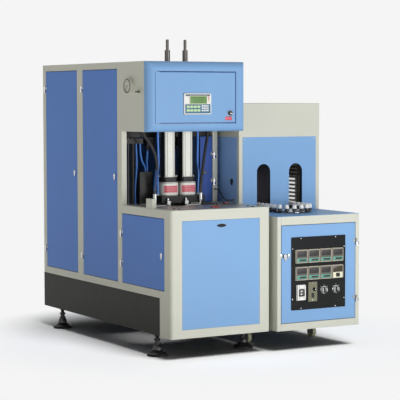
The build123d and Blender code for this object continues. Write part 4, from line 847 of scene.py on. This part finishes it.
@dataclass
class Hoses:
    """Air hoses, the cable from the heater, and the band wound on one of them."""

    runs: tuple[HoseRun, ...] = (
        HoseRun("blue_hose_left", 0.014, BLUE_RUBBER, (
            (184, 321, 1453), (184, 321, 1353), (189, 318, 1233), (179, 318, 1153), (184, 321, 1078),
            (184, 321, 1033))),
        HoseRun("blue_hose_right", 0.014, BLUE_RUBBER, (
            (490, 321, 1453), (490, 321, 1353), (484, 318, 1233), (496, 318, 1153), (490, 321, 1078),
            (490, 321, 1033))),
        HoseRun("black_hose_left", 0.020, BLACK_RUBBER, (
            (112, 233, 1030), (112, 233, 1070), (135, 252, 1140), (155, 274, 1220), (148, 296, 1300),
            (115, 311, 1370), (74, 321, 1418), (74, 321, 1453))),
        HoseRun("black_hose_right", 0.020, BLACK_RUBBER, (
            (460, 233, 1030), (460, 233, 1070), (483, 256, 1140), (513, 284, 1234), (545, 309, 1340),
            (567, 321, 1408), (567, 321, 1453))),
        HoseRun("heater_cable", 0.009, BLACK_RUBBER, (
            (673, 392, 1040), (673, 362, 1040), (670, 326, 1024), (667, 290, 990), (669, 254, 970),
            (685, 232, 970), (711, 232, 970))),
        HoseRun("bay_hose_one", 0.012, BLUE_RUBBER, (
            (105, 424, 1359), (105, 424, 1325), (111, 427, 1275), (127, 432, 1228), (153, 440, 1204),
            (153, 440, 1169))),
        HoseRun("bay_hose_two", 0.012, BLUE_RUBBER, (
            (163, 429, 1310), (163, 429, 1275), (161, 434, 1240), (171, 448, 1210), (171, 448, 1169))),
        HoseRun("bay_hose_three", 0.012, BLUE_RUBBER, (
            (75, 424, 1359), (75, 424, 1315), (81, 424, 1230), (74, 426, 1140), (68, 432, 1050),
            (72, 436, 990), (72, 436, 955))),
        HoseRun("bay_hose_four", 0.012, BLUE_RUBBER, (
            (372, 429, 1310), (372, 429, 1270), (364, 432, 1200), (350, 436, 1110), (347, 438, 1020),
            (347, 438, 955))),
    )
    wrapped: str = "black_hose_left"
    wrap_turns: int = 11
    wrap_share: Pair = (0.06, 0.36)
    wrap_reach: float = 0.0116
    wrap_radius: float = 0.0019

    def draw(self, run: HoseRun) -> np.ndarray:
        """Args:
            run: The hose.

        Returns:
            The points of its centre line.
        """
        points = np.array(run.points) / 1000
        curve = bpy.data.curves.new(run.name, "CURVE")
        curve.dimensions = "3D"
        curve.resolution_u = 12
        line = curve.splines.new("NURBS")
        line.points.add(len(points) - 1)
        line.points.foreach_set("co", np.hstack([points, np.ones((len(points), 1))]).reshape(-1))
        line.order_u = 3
        line.use_endpoint_u = True
        hose = link(bpy.data.objects.new(run.name, curve))
        bpy.context.view_layer.update()
        path = read(bpy.data.meshes.new_from_object(hose).vertices, "co")
        curve.bevel_depth = run.diameter / 2
        curve.bevel_resolution = 6
        curve.materials.append(run.finish.material())
        colour = "blue" if run.finish is BLUE_RUBBER else "black"
        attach(hose, "machine")
        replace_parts(hose, colour + "_hoses")
        return path

    def wrap(self, path: np.ndarray) -> None:
        """Winds a flat spiral band round the lower part of a hose.

        The band's line is the hose's line plus its radius times the cosine and sine of the turns.
        """
        steps = np.concatenate([[0], np.cumsum(np.linalg.norm(np.diff(path, axis=0), axis=1))])
        share = np.linspace(*self.wrap_share, 24 * self.wrap_turns)
        line = np.stack([np.interp(share * steps[-1], steps, path[:, k]) for k in range(3)], axis=-1)
        way = unit(np.gradient(line, axis=0))
        first = unit(np.cross(way, [0, 1, 0]))
        second = np.cross(way, first)
        turn = np.linspace(0, 2 * np.pi * self.wrap_turns, len(line))[:, None]
        wound = line + self.wrap_reach * (np.cos(turn) * first + np.sin(turn) * second)
        shape = Shape("spiral_wrap")
        shape.tube(wound, self.wrap_radius, BLUE_RUBBER, 8)
        shape.build("machine", "hose_blue")

    def build(self) -> None:
        """Makes all hoses, and winds the band round one of them."""
        paths = {run.name: self.draw(run) for run in self.runs}
        self.wrap(paths[self.wrapped])


def plated(name: str, body: str, slot: str, origin: Point, rows: Sequence[tuple]) -> None:
    """Makes a piece that has plates only, on a body."""
    shape = Shape(name)
    shape.plates(origin, rows)
    shape.build(body, slot)


@dataclass
class Controller:
    """Operator's terminal on the control door: display, function keys and number pad."""

    window: Pair = (0.106, 0.094)
    key: tuple[float, ...] = (0.0225, 0.0155, 0.003, 3)
    pad_key: tuple[float, ...] = (0.0105, 0.0105, 0.002, 3)
    printed: Pair = (0.0003, 0.0001)

    def build(self) -> None:
        """Lays the display, its rows, the key fields and the marks from the face's lower left corner."""
        low, high, middle = box("controller")
        width, _, height = high - low
        shape = Shape("controller_face")
        shape.plates(low, [
            (width / 2, height - 0.012, 0, (0.182, 0.010, 0.002), 0.0012, 0.0004, STRIP_NAVY),
            (*self.window, 0, (0.132, 0.056, 0.003), 0.0016, 0.0006, CREAM_PLASTIC),
            (*self.window, 0.0012, (0.124, 0.048, 0.002), 0.0012, 0.0003, LCD),
            *((0.100, 0.108 - 0.014 * row, 0.0024, (0.098 - 0.012 * row, 0.0052, 0.0008, 2),
               *self.printed, LCD_DARK) for row in range(3)),
            (0.1635, 0.094, 0.0024, (0.006, 0.044, 0.001, 2), *self.printed, LCD_DARK),
            (width / 2, 0.036, 0, (0.190, 0.060, 0.003), 0.0014, 0.0005, TEAL),
            *((0.0285 + 0.0265 * column, 0.0500 - 0.0235 * row, 0.0012, self.key, 0.0022, 0.0009, KEY_GREEN)
              for row in range(2) for column in range(4)),
            *((0.1355 + 0.0135 * column, 0.0555 - 0.0150 * row, 0.0012, self.pad_key, 0.0022, 0.0008,
               KEY_WHITE) for row in range(3) for column in range(4)),
        ])
        lamp, dot = stub(0.0042, 0.0012, 0.0008, 0.0012), stub(0.0032, 0.001, 0.0006)
        for z, finish in ((0.112, RED_PLASTIC), (0.100, RED_PLASTIC), (0.086, YELLOW_PLASTIC)):
            shape.lathe(low + (0.184, 0, z), AHEAD, lamp, finish, 16)
        for z in (0.112, 0.099, 0.086, 0.073):
            shape.lathe(low + (0.0245, 0, z), AHEAD, dot, KEY_WHITE, 14)
        shape.build("control_door", "white_plastic")
        plated("controller_gasket", "control_door", "black_plastic",
               (middle[0], box("control_door")[0][1], middle[2]),
               [(0, 0, 0, (width + 0.003, height + 0.003, 0.005), 0.0016, 0.0006, GASKET)])


@dataclass
class ControlDoorTrim:
    """The control door's handle, the bare coloured plate under it and a painted shadow line along the door's
    gap.
    """

    edge_low: Pair = (0.045, 1.498)
    edge_high: Pair = (0.6145, 1.8315)
    edge: float = 0.004

    def build(self) -> None:
        """Dresses the handle with a white pointer and a chrome rosette, and sets the plate and the painted
        shadow line.

        The painted shadow line is left off on the hinge side, where it would touch the cover of the open
        door.
        """
        low, _, knob = box("control_door_knob")
        at = (knob[0], box("control_door")[0][1], knob[2])
        rosette = Shape("control_handle_rosette")
        profile = arched(0.0195, 0.0016, 0.018, -0.0015, 5, 90) + [(0.0002, 0.0158)]
        rosette.lathe(at, AHEAD, profile, CHROME, 40, True)
        rosette.build("control_door", "chrome")
        plated("control_handle_pointer", "control_door_knob", "white_plastic", (knob[0], low[1], knob[2]),
               [(0, 0, 0, (0.0200, 0.0045, 0.0012, 3), 0.0012, 0.0004, LABEL_WHITE)])
        plated("handle_plate", "control_door", "white_plastic", at, [
            (-0.010, -0.032, 0, (0.052, 0.024, 0.004), 0.0012, 0.0004, LABEL_RED),
            (-0.010, -0.030, 0.0010, (0.044, 0.009, 0.002), 0.0006, 0.0002, LABEL_ROSE),
        ])
        first, last = np.array(self.edge_low), np.array(self.edge_high)
        (x, z), (width, height) = (first + last) / 2, last - first
        # Painted shade: thin dark plates along the door's edges stand for the shadow in its gap.
        plated("control_door_gap_shadow", "control_door", "blue_paint", (x, at[1], z), [
            ((width - self.edge) / 2, 0, 0, (self.edge, height, 0.001, 2), 0.0003, 0.0001, PAINTED_SHADE_BLUE),
            *((0, way * (height - self.edge) / 2, 0, (width, self.edge, 0.001, 2), 0.0004, 0.0001, PAINTED_SHADE_BLUE)
              for way in (-1, 1)),
        ])


@dataclass
class PressureGauge:
    """Face, scale, rim and needle hub of the pressure gauge."""

    middle: Pair = (0.267, 1.741)
    floor_x: float = -0.069
    rim_x: float = -0.0746
    radius: float = 0.0405
    start: float = 225.0
    sweep: float = 270.0
    steps: int = 11
    marks: int = 5

    def angle(self, step: float) -> float:
        """Gives a scale step's angle in degrees."""
        return self.start - self.sweep * step / (self.steps - 1)

    def build(self) -> None:
        """Draws the dial's marks and numbers, and sets the rim and the hub."""
        face = Shape("gauge_face")
        edge = self.radius - 0.0002
        # The dial's face glows, as painted light.
        face.lathe((self.floor_x + 0.0001, *self.middle), TO_LEFT,
                   [(-0.0001, 0.0030), (-0.0001, edge), (0.00005, edge), (0.00005, 0.0030)],
                   DIAL_WHITE_PAINTED_GLOW, 64, True)
        for mark in range(self.marks * (self.steps - 1) + 1):
            length, thick = (0.0032, 0.0005) if mark % self.marks else (0.0060, 0.0009)
            line = rounded_outline(length, thick, 0.0001, 1) + [self.radius - 0.0035 - length / 2, 0]
            line = turned(line, self.angle(mark / self.marks))
            face.pad(Face.LEFT, (self.floor_x - 0.0001, *self.middle), line, 0.00015, 0.00005, SATIN_BLACK)
        face.build("machine", "gauge_body")
        for step in range(0, self.steps, 2):
            self.number(step)
        ring = Shape("gauge_rim")
        ring.lathe((self.rim_x, *self.middle), TO_LEFT, arched(self.radius, 0.0022, 0.0437, 0.0032, 9),
                   DARK_STEEL, 64, True)
        ring.build("machine", "gauge_body")
        hub = Shape("gauge_needle_hub")
        hub.lathe((box("gauge_needle")[0][0] + 0.0002, *self.middle), TO_LEFT,
                  [(0, 0.0030), (0.0010, 0.0028), (0.0014, 0.0018)], SATIN_BLACK, 24)
        hub.build("gauge_needle", "black_plastic")

    def number(self, step: int) -> None:
        """Sets a plain number of the scale as thin letters made into a mesh."""
        angle = np.radians(self.angle(step))
        reach = self.radius - 0.0135
        text = bpy.data.curves.new(f"gauge_number_{step}", "FONT")
        text.body = str(step)
        text.size = 0.0085
        text.extrude = 0.00004
        text.align_x = "CENTER"
        text.align_y = "CENTER"
        holder = link(bpy.data.objects.new(text.name, text))
        bpy.context.view_layer.update()
        mesh = bpy.data.meshes.new_from_object(holder)
        bpy.data.objects.remove(holder)
        points = read(mesh.vertices, "co") + [reach * np.cos(angle), reach * np.sin(angle), 0.0002]
        placed = Face.LEFT.place(*points.T, (self.floor_x, *self.middle))
        mesh.vertices.foreach_set("co", placed.reshape(-1))
        mesh.materials.clear()
        mesh.materials.append(SATIN_BLACK.material())
        mesh.update()
        number = link(bpy.data.objects.new(text.name, mesh))
        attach(number, "machine")


@dataclass
class HeaterPanel:
    """Meters, breaker, speed governor, selector knobs and screws of the heater's control plate.

    The numbers that end in out are distances of a face in front of the frame's zero.
    """

    plate_out: float = 0.309
    meter_out: float = 0.318
    window_out: float = 0.315
    first_meter: Pair = (0.909, 0.623)
    pitch: Pair = (0.0955, 0.113)
    meter: Pair = (0.088, 0.084)
    edge: float = 0.0036
    window: tuple[float, ...] = (0.0735, 0.0349, 0.0005, 1)
    window_rise: float = 0.0168
    segments: tuple[tuple[float, float, bool], ...] = (
        (0, 1, True), (0, 0, True), (0, -1, True), (-1, 0.5, False), (1, 0.5, False), (-1, -0.5, False),
        (1, -0.5, False),
    )
    screws: tuple[Pair, ...] = (
        (0.907, 0.741), (1.182, 0.741), (1.252, 0.675), (1.252, 0.330),
        (1.182, 0.280), (0.907, 0.280), (0.842, 0.342), (0.842, 0.675),
    )
    breaker: Point = (0.905, -0.323, 0.385)
    governor: Point = (0.998, -0.314, 0.386)

    def digit(self, x: float, z: float, size: float) -> list[tuple]:
        """Gives the plates of one unlit digit: seven bars round the two squares of an eight."""
        long, thin = size * 0.46, size * 0.11
        return [(x + across * size * 0.27, z + up * size * 0.5, self.window_out + 0.0010,
                 (*((long, thin) if flat else (thin, long)), thin * 0.4, 1), 0.0002, 0.00005, SEGMENT)
                for across, up, flat in self.segments]

    def case(self, finish: Finish) -> list[tuple]:
        """Gives the plates of an instrument's foot, its four edges and its window."""
        width, height = self.meter
        rows = [(0, 0, self.plate_out, (width + 0.004, height + 0.004, 0.003), 0.0022, 0.0008, CREAM_PLASTIC)]
        for way in (-1, 1):
            rows += [(way * (width - self.edge) / 2, 0, self.meter_out, (self.edge, height, 0.001, 2),
                      0.0006, 0.0002, BEZEL_EDGE),
                     (0, way * (height - self.edge) / 2, self.meter_out, (width, self.edge, 0.001, 2),
                      0.0007, 0.0002, BEZEL_EDGE)]
        return rows + [(0, self.window_rise, self.window_out - 0.0001, self.window, 0.0010, 0.0003, finish)]

    def meters(self) -> None:
        """Draws seven meters with digits, strip and keys, and the timer with its black square."""
        digits = [row for place in range(4) for up, size in ((0.0075, 0.0125), (-0.0100, 0.0095))
                  for row in self.digit(0.004 + (place - 1.5) * 0.0150, self.window_rise + up, size)]
        meter = self.case(SMOKED) + digits + [
            (0, -0.0245, self.meter_out, (0.077, 0.0235, 0.002), 0.0010, 0.0004, STRIP_TEAL),
            (0.006, -0.0250, self.meter_out + 0.0008, (0.0520, 0.0120, 0.002), 0.0006, 0.0002, SMOKED),
            *((-0.0125 + 0.0125 * key, -0.0250, self.meter_out + 0.0012, (0.0095, 0.0075, 0.0015, 2),
               0.0014, 0.0005, BLACK_PLASTIC) for key in range(4)),
        ]
        timer = self.case(BROWN_WINDOW) + [
            (0, -0.022, self.meter_out, (0.076, 0.036, 0.002), 0.0010, 0.0004, CREAM_PLASTIC),
            (0, -0.022, self.meter_out + 0.0008, (0.030, 0.026, 0.002), 0.0030, 0.0010, SATIN_BLACK),
            *((across * 0.0065, -0.022 + up * 0.0055, self.meter_out + 0.0036, (0.010, 0.008, 0.0015, 2),
               0.0012, 0.0004, BLACK_PLASTIC) for up in (-1, 1) for across in (-1, 1)),
        ]
        shape = Shape("meter_faces")
        for index in range(8):
            row, column = divmod(index, 4)
            x = self.first_meter[0] + column * self.pitch[0]
            z = self.first_meter[1] - row * self.pitch[1]
            shape.plates((x, 0, z), timer if index == 7 else meter)
            for lamp in range(0 if index == 7 else 3):
                at = (x - 0.0325, -self.window_out - 0.0009, z + self.window_rise + 0.010 - 0.009 * lamp)
                shape.lathe(at, AHEAD, [(0, 0.0013), (0.0006, 0.0011)], RED_PLASTIC, 10)
        shape.build("heater_door", "white_plastic")

    def breaker_trim(self) -> None:
        """Draws the breaker's dark window round its lever, its grooves, screws and white base."""
        x, y, z = self.breaker
        shape = Shape("breaker_window")
        shape.plates(self.breaker, [
            *((across, up, 0, (width, height, 0.001, 2), 0.0010, 0.0004, SMOKED)
              for across, up, width, height in ((-0.0165, 0, 0.013, 0.050), (0.0165, 0, 0.013, 0.050),
                                                (0, 0.0197, 0.020, 0.0106), (0, -0.0197, 0.020, 0.0106))),
            *((0, up, 0, (0.058, 0.0014, 0.0005, 1), 0.0004, 0.0001, SATIN_BLACK) for up in (-0.031, 0.031)),
        ])
        for side in (-0.018, 0.018):
            for up in (-0.039, 0.039):
                shape.screw((x + side, y, z + up), 0.0070, ZINC)
        shape.build("heater_door", "black_plastic")
        plated("breaker_base", "heater_door", "white_plastic", (x, 0, z),
               [(0, 0, self.plate_out, (0.068, 0.102, 0.003), 0.004, 0.001, WHITE_PLASTIC)])

    def dashes(self, shape: Shape, at: Point, reach: float, size: Pair,
               angles: Sequence[float]) -> None:
        """Prints white dashes of a length and width round a point, at a distance and angles."""
        for angle in angles:
            line = turned(rounded_outline(*size, size[1] / 7, 1) + [reach, 0], angle)
            shape.pad(Face.FRONT, at, line, 0.0002, 0.00005, LABEL_WHITE)

    def governor_trim(self) -> None:
        """Draws the governor's screws, rocker switch, scale marks and the knob's chrome cap."""
        x, y, z = self.governor
        shape = Shape("governor_face")
        for up in (-0.056, 0.056):
            shape.screw((x, y, z + up), 0.0080, CHROME)
        shape.plates(self.governor, [
            (0, -0.024, 0, (0.020, 0.030, 0.002), 0.0020, 0.0006, SATIN_BLACK),
            (0, -0.020, 0.0018, (0.013, 0.011, 0.001, 2), 0.0024, 0.0008, BLACK_GLOSS),
            (0, -0.031, 0.0018, (0.013, 0.010, 0.001, 2), 0.0010, 0.0004, BLACK_GLOSS),
        ])
        low, _, knob = box("speed_knob")
        self.dashes(shape, (knob[0], y, knob[2]), 0.0165, (0.0030, 0.0007), range(225, -46, -27))
        shape.build("heater_door", "aluminium")
        cap = Shape("speed_knob_cap")
        profile = stub(0.0036, 0.0008, 0.0005, 0.0008)
        cap.lathe((knob[0], low[1] + 0.0002, knob[2]), AHEAD, profile, CHROME, 28)
        cap.plates((knob[0], low[1], knob[2]),
                   [(0, 0.0075, 0, (0.0014, 0.0075, 0.0003, 1), 0.0004, 0.0001, LABEL_WHITE)])
        cap.build("speed_knob", "chrome")

    def selectors(self) -> None:
        """Draws each selector knob's white pointer, its chrome ring and its three marks."""
        for name in ("selector_knob_left", "selector_knob_right"):
            low, _, (x, _, z) = box(name)
            plated(name + "_pointer", name, "white_plastic", (x, low[1], z),
                   [(0, 0.008, 0, (0.0034, 0.0215, 0.0010, 3), 0.0008, 0.0003, LABEL_WHITE)])
            ring = Shape(name + "_ring")
            ring.lathe((x, -self.plate_out - 0.0001, z), AHEAD, arched(0.0236, 0.0030, 0.0258, -0.0022, 7),
                       CHROME, 40, True)
            self.dashes(ring, (x, -self.plate_out, z), 0.0335, (0.0055, 0.0014), (45, 90, 135))
            ring.build("heater_door", "chrome")

    def build(self) -> None:
        """Builds every part of the panel."""
        self.meters()
        self.breaker_trim()
        self.governor_trim()
        self.selectors()
        fixings = Shape("control_plate_screws")
        for x, z in self.screws:
            fixings.screw((x, -self.plate_out, z), 0.0090, CHROME)
        fixings.build("heater_door", "chrome")


@dataclass
class BlowHeads:
    """Grooves in painted shade, bands, bare labels, nuts and hose ends of the two blow heads."""

    xs: Pair = (0.2575, 0.3925)
    y: float = 0.321
    side: float = 0.076
    barrel: Pair = (1.138, 1.470)
    seal: Pair = (1.013, 1.103)
    seal_side: float = 0.116
    seal_corner: float = 0.028
    collar_top: float = 1.136
    stud_out: float = 0.040
    beam_bottom: float = 1.473
    nipples: tuple[Pair, ...] = ((0.184, 0.321), (0.490, 0.321))
    ferrules: tuple[Pair, ...] = ((0.112, 0.233), (0.460, 0.233))
    ferrule: Pair = (0.985, 1.030)
    elbow_xs: Pair = (0.2125, 0.3475)

    def wrapped(self, shape: Shape, x: float, angles: Pair, heights: Pair,
                lift: float, finish: Finish) -> None:
        """Lays a thin sheet round a seal, over the part of its outline between two angles.

        The sheet's sides are the seal's rounded square, and the same square grown by the lift.

        Args:
            shape: The shape that takes the sheet.
            x: The seal's middle.
            angles: First and last angle in degrees, 0 to the front and 90 to the right.
            heights: The sheet's low and high edge.
            lift: How far its face stands off the seal.
            finish: What it is made of.
        """
        sides = [rounded_outline(self.seal_side + 2 * grow, self.seal_side + 2 * grow,
                                 self.seal_corner + grow, 10) for grow in (-0.0001, lift)]
        turn = np.degrees(np.arctan2(sides[1][:, 0], -sides[1][:, 1]))
        order = np.argsort(turn)
        kept = order[(turn[order] >= angles[0]) & (turn[order] <= angles[1])]
        low, high = (np.full((len(kept), 1), height) for height in heights)
        corners = ((sides[0], low), (sides[1], low), (sides[1], high), (sides[0], high))
        rings = np.stack([np.hstack([side[kept], level]) for side, level in corners], axis=1)
        shape.rings(rings + np.array([x, self.y, 0]), finish)

    def heads(self) -> None:
        """Builds the labels, bands and studs on both seals, and the grooves of painted shade in both barrels.
        """
        labels = Shape("head_label_fields")
        trim = Shape("head_barrel_grooves")
        bands = Shape("head_bands")
        for x in self.xs:
            self.wrapped(labels, x, (-88, 62), (1.020, 1.096), 0.0003, LABEL_WHITE)
            self.wrapped(labels, x, (-50, 40), (1.034, 1.080), 0.0006, LABEL_ROSE)
            for row in np.linspace(1.039, 1.074, 4):
                self.wrapped(labels, x, (-46, 36), (row, row + 0.0045), 0.0009, LABEL_RED)
            for height in (self.seal[0] + 0.0035, self.seal[1] - 0.0050):
                self.wrapped(bands, x, (-180, 180), (height - 0.0015, height + 0.0015), 0.0010, SATIN_BLACK)
            front = self.y - self.side / 2
            # Each groove is a thin plate of painted shade.
            for offset in (-0.021, 0.021):
                trim.bar((x + offset - 0.0012, front - 0.0003, self.barrel[0]),
                         (x + offset + 0.0012, front + 0.0001, self.barrel[1]), SHADE, 0.0001)
            for across in (-self.stud_out, self.stud_out):
                for deep in (-self.stud_out, self.stud_out):
                    bands.turnings((x + across, self.y + deep, self.collar_top), UP, [
                        (stub(0.0075, 0.006), ZINC, 6),
                        (stub(0.0038, 0.006, 0.0005, 0.0008, 0.006), ZINC, 14),
                    ])
        labels.build("machine", "white_plastic")
        trim.build("machine", "aluminium")
        bands.build("machine", "black_paint")

    def build(self) -> None:
        """Builds what the two heads carry, and the nuts, ferrules and elbows of their hoses."""
        self.heads()
        ends = Shape("hose_end_nuts")
        for x, y in self.nipples:
            for z, way in ((self.seal[0], UP), (self.beam_bottom, DOWN)):
                ends.turnings((x, y, z), way, [
                    (stub(0.0155, 0.009, 0.0015, 0.0015), ZINC, 6),
                    ([(0.0105, 0.0125), (0.018, 0.0120), (0.0215, 0.0090)], BLUE_RUBBER, 24),
                ])
        low, high = self.ferrule
        rib = ((0, 0.0118), (0.0006, 0.0132), (0.0034, 0.0132), (0.004, 0.0118))
        for x, y in self.ferrules:
            for z in np.linspace(low + 0.004, high - 0.006, 5):
                ends.lathe((x, y, z), UP, rib, CHROME, 28)
            ends.lathe((x, y, low - 0.008), UP, stub(0.0130, 0.008), CHROME, 6)
        for x in self.elbow_xs:
            ends.turnings((x, 0.233, 0.981), UP, [
                (stub(0.0105, 0.006), CHROME, 6),
                (stub(0.0060, 0.010, 0.003, 0.002, 0.006), CHROME, 20),
            ])
            ends.lathe((x, 0.2085, 0.952), AHEAD, stub(0.0095, 0.006, start=-0.002), CHROME, 6)
        ends.build("machine", "brushed_steel")


@dataclass
class Oven:
    """Lamp ends, filaments and bright sheets inside the oven."""

    middle: float = 1.0515
    lamp_reach: float = 0.1922
    rows: int = 7
    first: float = 0.936
    pitch: float = 0.027
    near: float = 0.242
    far: float = 1.142
    coil_turns: int = 60
    coil_radius: float = 0.0017

    def build(self) -> None:
        """Builds the lamp ends on both walls, the coils inside them and the bright strips above."""
        ends = Shape("lamp_ends")
        coils = Shape("lamp_filaments")
        shields = Shape("lamp_shields")
        turns = np.linspace(0, 2 * np.pi * self.coil_turns, 8 * self.coil_turns)
        along = np.linspace(self.near + 0.03, self.far - 0.03, len(turns))
        end = stub(0.0078, 0.0225, 0.0015, 0.0014)
        for side in (-1, 1):
            x = self.middle + side * self.lamp_reach
            for z in self.first + np.arange(self.rows) * self.pitch:
                for y, way in ((self.near, 1), (self.far, -1)):
                    ends.lathe((x, y - 0.0005 * way, z), (0, way, 0), end, CERAMIC, 16)
                wound = np.stack([x + self.coil_radius * np.cos(turns), along,
                                  z + self.coil_radius * np.sin(turns)], axis=-1)
                coils.tube(wound, 0.0005, DARK_STEEL, 4)
            left, right = sorted((x - side * 0.004, x - side * 0.007))
            for z in np.linspace(1.122, 1.196, 4):
                shields.bar((left, self.near, z - 0.004), (right, self.far, z + 0.004), SHIELD, 0.0006)
        for shape, slot in ((ends, "white_plastic"), (coils, "brushed_steel"), (shields, "brushed_steel")):
            shape.build("machine", slot)


@dataclass
class Carriers:
    """The sixty preform holders on the chain's pins, and the chain's pin heads."""

    middle: float = 1.0515
    radius: float = 0.130196
    pitch: float = 0.0508
    straight: int = 22
    turned: int = 8
    front_axis: float = 0.034
    base: float = 0.904
    sleeve: tuple[Pair, ...] = (
        (0.0000, 0.0105), (0.0000, 0.0150), (0.0015, 0.0160), (0.0060, 0.0160), (0.0075, 0.0148),
        (0.0120, 0.0142), (0.0125, 0.0125), (0.0166, 0.0125),
    )
    cap: tuple[Pair, ...] = (
        (0.0165, 0.0118), (0.0170, 0.0152), (0.0180, 0.0160), (0.0265, 0.0160), (0.0275, 0.0152),
        (0.0282, 0.0134), (0.0405, 0.0130), (0.0420, 0.0120), (0.0420, 0.0092), (0.0300, 0.0088),
        (0.0300, 0.0000),
    )

    def places(self) -> np.ndarray:
        """Gives the pins' places: two straight rows a pitch apart, joined by two half circles."""
        row = np.arange(self.straight + 1) * self.pitch
        turn = np.arange(1, self.turned) * np.pi / self.turned
        length = self.straight * self.pitch
        sides = [np.stack([np.full_like(row, -self.radius), length - row], axis=-1),
                 np.stack([-self.radius * np.cos(turn), -self.radius * np.sin(turn)], axis=-1),
                 np.stack([np.full_like(row, self.radius), row], axis=-1),
                 np.stack([self.radius * np.cos(turn), length + self.radius * np.sin(turn)], axis=-1)]
        return np.concatenate(sides) + [self.middle, self.front_axis]

    def build(self) -> None:
        """Turns the holders in place of their plain solids, and rivets the pins."""
        holders = Shape("preform_holder_sleeves")
        rivets = Shape("chain_rivets")
        for x, y in self.places():
            holders.turnings((x, y, self.base), UP, [(self.sleeve, DARK_STEEL, 24),
                                                     (self.cap, HOLDER_WHITE, 24)])
            rivets.lathe((x, y, self.base - 0.0145), DOWN, stub(0.0042, 0.001, 0.001, 0.0014), STEEL, 12)
        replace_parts(holders.build("machine", "white_plastic"), "preform_holders")
        rivets.build("machine", "black_paint")


@dataclass
class Castors:
    """Rings on both sides of the four castor wheels."""

    names: tuple[str, ...] = ("front_left", "front_right", "rear_left", "rear_right")
    side: float = 0.0139
    rings: tuple[tuple[float, float, Finish, int], ...] = (
        (0.0335, 0.0006, OLIVE_PLATE, 40), (0.0145, 0.0007, DARK_STEEL, 32),
    )

    def build(self) -> None:
        """Sets a tread ring and a hub ring on each side of each wheel, inside its fork."""
        for name in self.names:
            wheel = "castor_wheel_" + name
            x, y, z = box(wheel)[2]
            hub = Shape(wheel + "_rings")
            for way in (-1, 1):
                for outer, rise, finish, sides in self.rings:
                    profile = [(0, outer), (rise, outer), (rise + 0.0002, outer - 0.0017),
                               (0, outer - 0.0019)]
                    hub.lathe((x + way * self.side, y, z), (way, 0, 0), profile, finish, sides, True)
            hub.build(wheel, "wheel_polymer")


@dataclass
class Fixings:
    """Small screws, the front panel's finger pull of painted shade and other trim on the cabinets."""

    pull: Point = (0.326, -0.266, 0.849)
    pull_width: float = 0.074
    lock: Point = (0.786, -0.3050, 0.6313)
    lock_plates: tuple[tuple[float, float, Finish], ...] = (
        (-0.030, 0.014, CHROME), (0, 0.044, DARK_STEEL), (0.030, 0.014, CHROME),
    )
    table_top: float = 0.955
    foot_xs: Pair = (0.0, 0.65)
    foot_ys: Pair = (0.0, 1.439)
    foot: tuple[tuple[Any, int], ...] = (
        (((0.0150, 0.0640), (0.0225, 0.0560), (0.0225, 0.0480)), 48),
        (((0.0400, 0.0330), (0.0440, 0.0330), (0.0520, 0.0290), (0.0640, 0.0270), (0.0680, 0.0225)), 48),
        (((0.0690, 0.0215), (0.0810, 0.0215), (0.0825, 0.0195)), 6),
        (((0.0820, 0.0155), (0.1080, 0.0155)), 32),
        (((0.1000, 0.0205), (0.1015, 0.0215), (0.1100, 0.0215)), 6),
    )

    def screws(self) -> None:
        """Sets the screws of the front panel and of the oven's face."""
        shape = Shape("panel_screws")
        low, high, middle = box("front_panel")
        for x in (low[0] + 0.012, high[0] - 0.012):
            for z in (low[2] + 0.030, middle[2], high[2] - 0.030):
                shape.screw((x, low[1], z), 0.0060, BLUE, False)
        low, high, _ = box("oven_front_panel")
        for x in (low[0] + 0.014, high[0] - 0.014):
            for z in (low[2] + 0.040, high[2] - 0.016):
                shape.screw((x, low[1], z), 0.0075, STEEL)
        shape.build("machine", "brushed_steel")

    def table(self) -> None:
        """Sets the table's bolts, and the red loop and the clipped strip that lie on it."""
        bolts = Shape("table_bolts")
        low, high, _ = box("table_plate")
        for x in (0.05, 0.325, 0.60):
            for y in (low[1] + 0.025, low[1] + 0.085):
                bolts.lathe((x, y, high[2]), UP, [(0, 0.0075), (0.004, 0.0075), (0.005, 0.0066),
                                                 (0.005, 0.0042), (0.0022, 0.0040)], DARK_STEEL, 24)
        bolts.build("machine", "brushed_steel")
        small = Shape("table_loose_items")
        turn = np.linspace(0, 2 * np.pi, 41)
        loop = np.stack([0.392 + 0.026 * np.cos(turn), -0.078 + 0.026 * np.sin(turn),
                         self.table_top + 0.0025 + 0 * turn], axis=-1)
        small.tube(loop, 0.0024, RED_PLASTIC, 8)
        strip_top = self.table_top + 0.008
        small.bar((0.492, 0.066, self.table_top), (0.644, 0.084, strip_top), BLACK_PLASTIC, 0.002)
        small.bar((0.545, 0.062, strip_top), (0.580, 0.088, strip_top + 0.011), DARK_RED, 0.002)
        small.build("machine", "black_plastic")

    def build(self) -> None:
        """Builds the screws, the pull, the feet's nuts, the table's pieces and the lock's plates."""
        self.screws()
        pull = Shape("front_panel_pull")
        turn = np.linspace(0, np.pi, 13)[:-1]
        half = np.stack([np.cos(turn), 0.30 * np.sin(turn) ** 1.6], axis=-1) * self.pull_width / 2
        # The pull's hollow is a thin plate of painted shade.
        pull.pad(Face.FRONT, self.pull, np.concatenate([half, -half]), 0.0006, 0.0002, SHADE)
        pull.build("machine", "black_plastic")
        feet = Shape("foot_nuts_and_rings")
        for x in self.foot_xs:
            for y in self.foot_ys:
                feet.turnings((x, y, 0.0), UP, [(profile, DARK_STEEL, sides) for profile, sides in self.foot])
        feet.build("machine", "black_paint")
        self.table()
        plated("heater_lock_plates", "heater_door", "chrome", self.lock, [
            (across, 0, 0, (width, 0.024, 0.002, 3), 0.0026, 0.0008, finish)
            for across, width, finish in self.lock_plates
        ])


def main() -> None:
    """Builds the studio, dresses the nodes and adds the pieces, in order."""
    logging.basicConfig(level=logging.INFO, format="%(message)s")
    for assembly in (
        Studio(), Dressing(), Hoses(), Controller(), ControlDoorTrim(), PressureGauge(), HeaterPanel(),
        BlowHeads(), Oven(), Carriers(), Castors(), Fixings(),
    ):
        assembly.build()


if __name__ == "__main__":
    main()
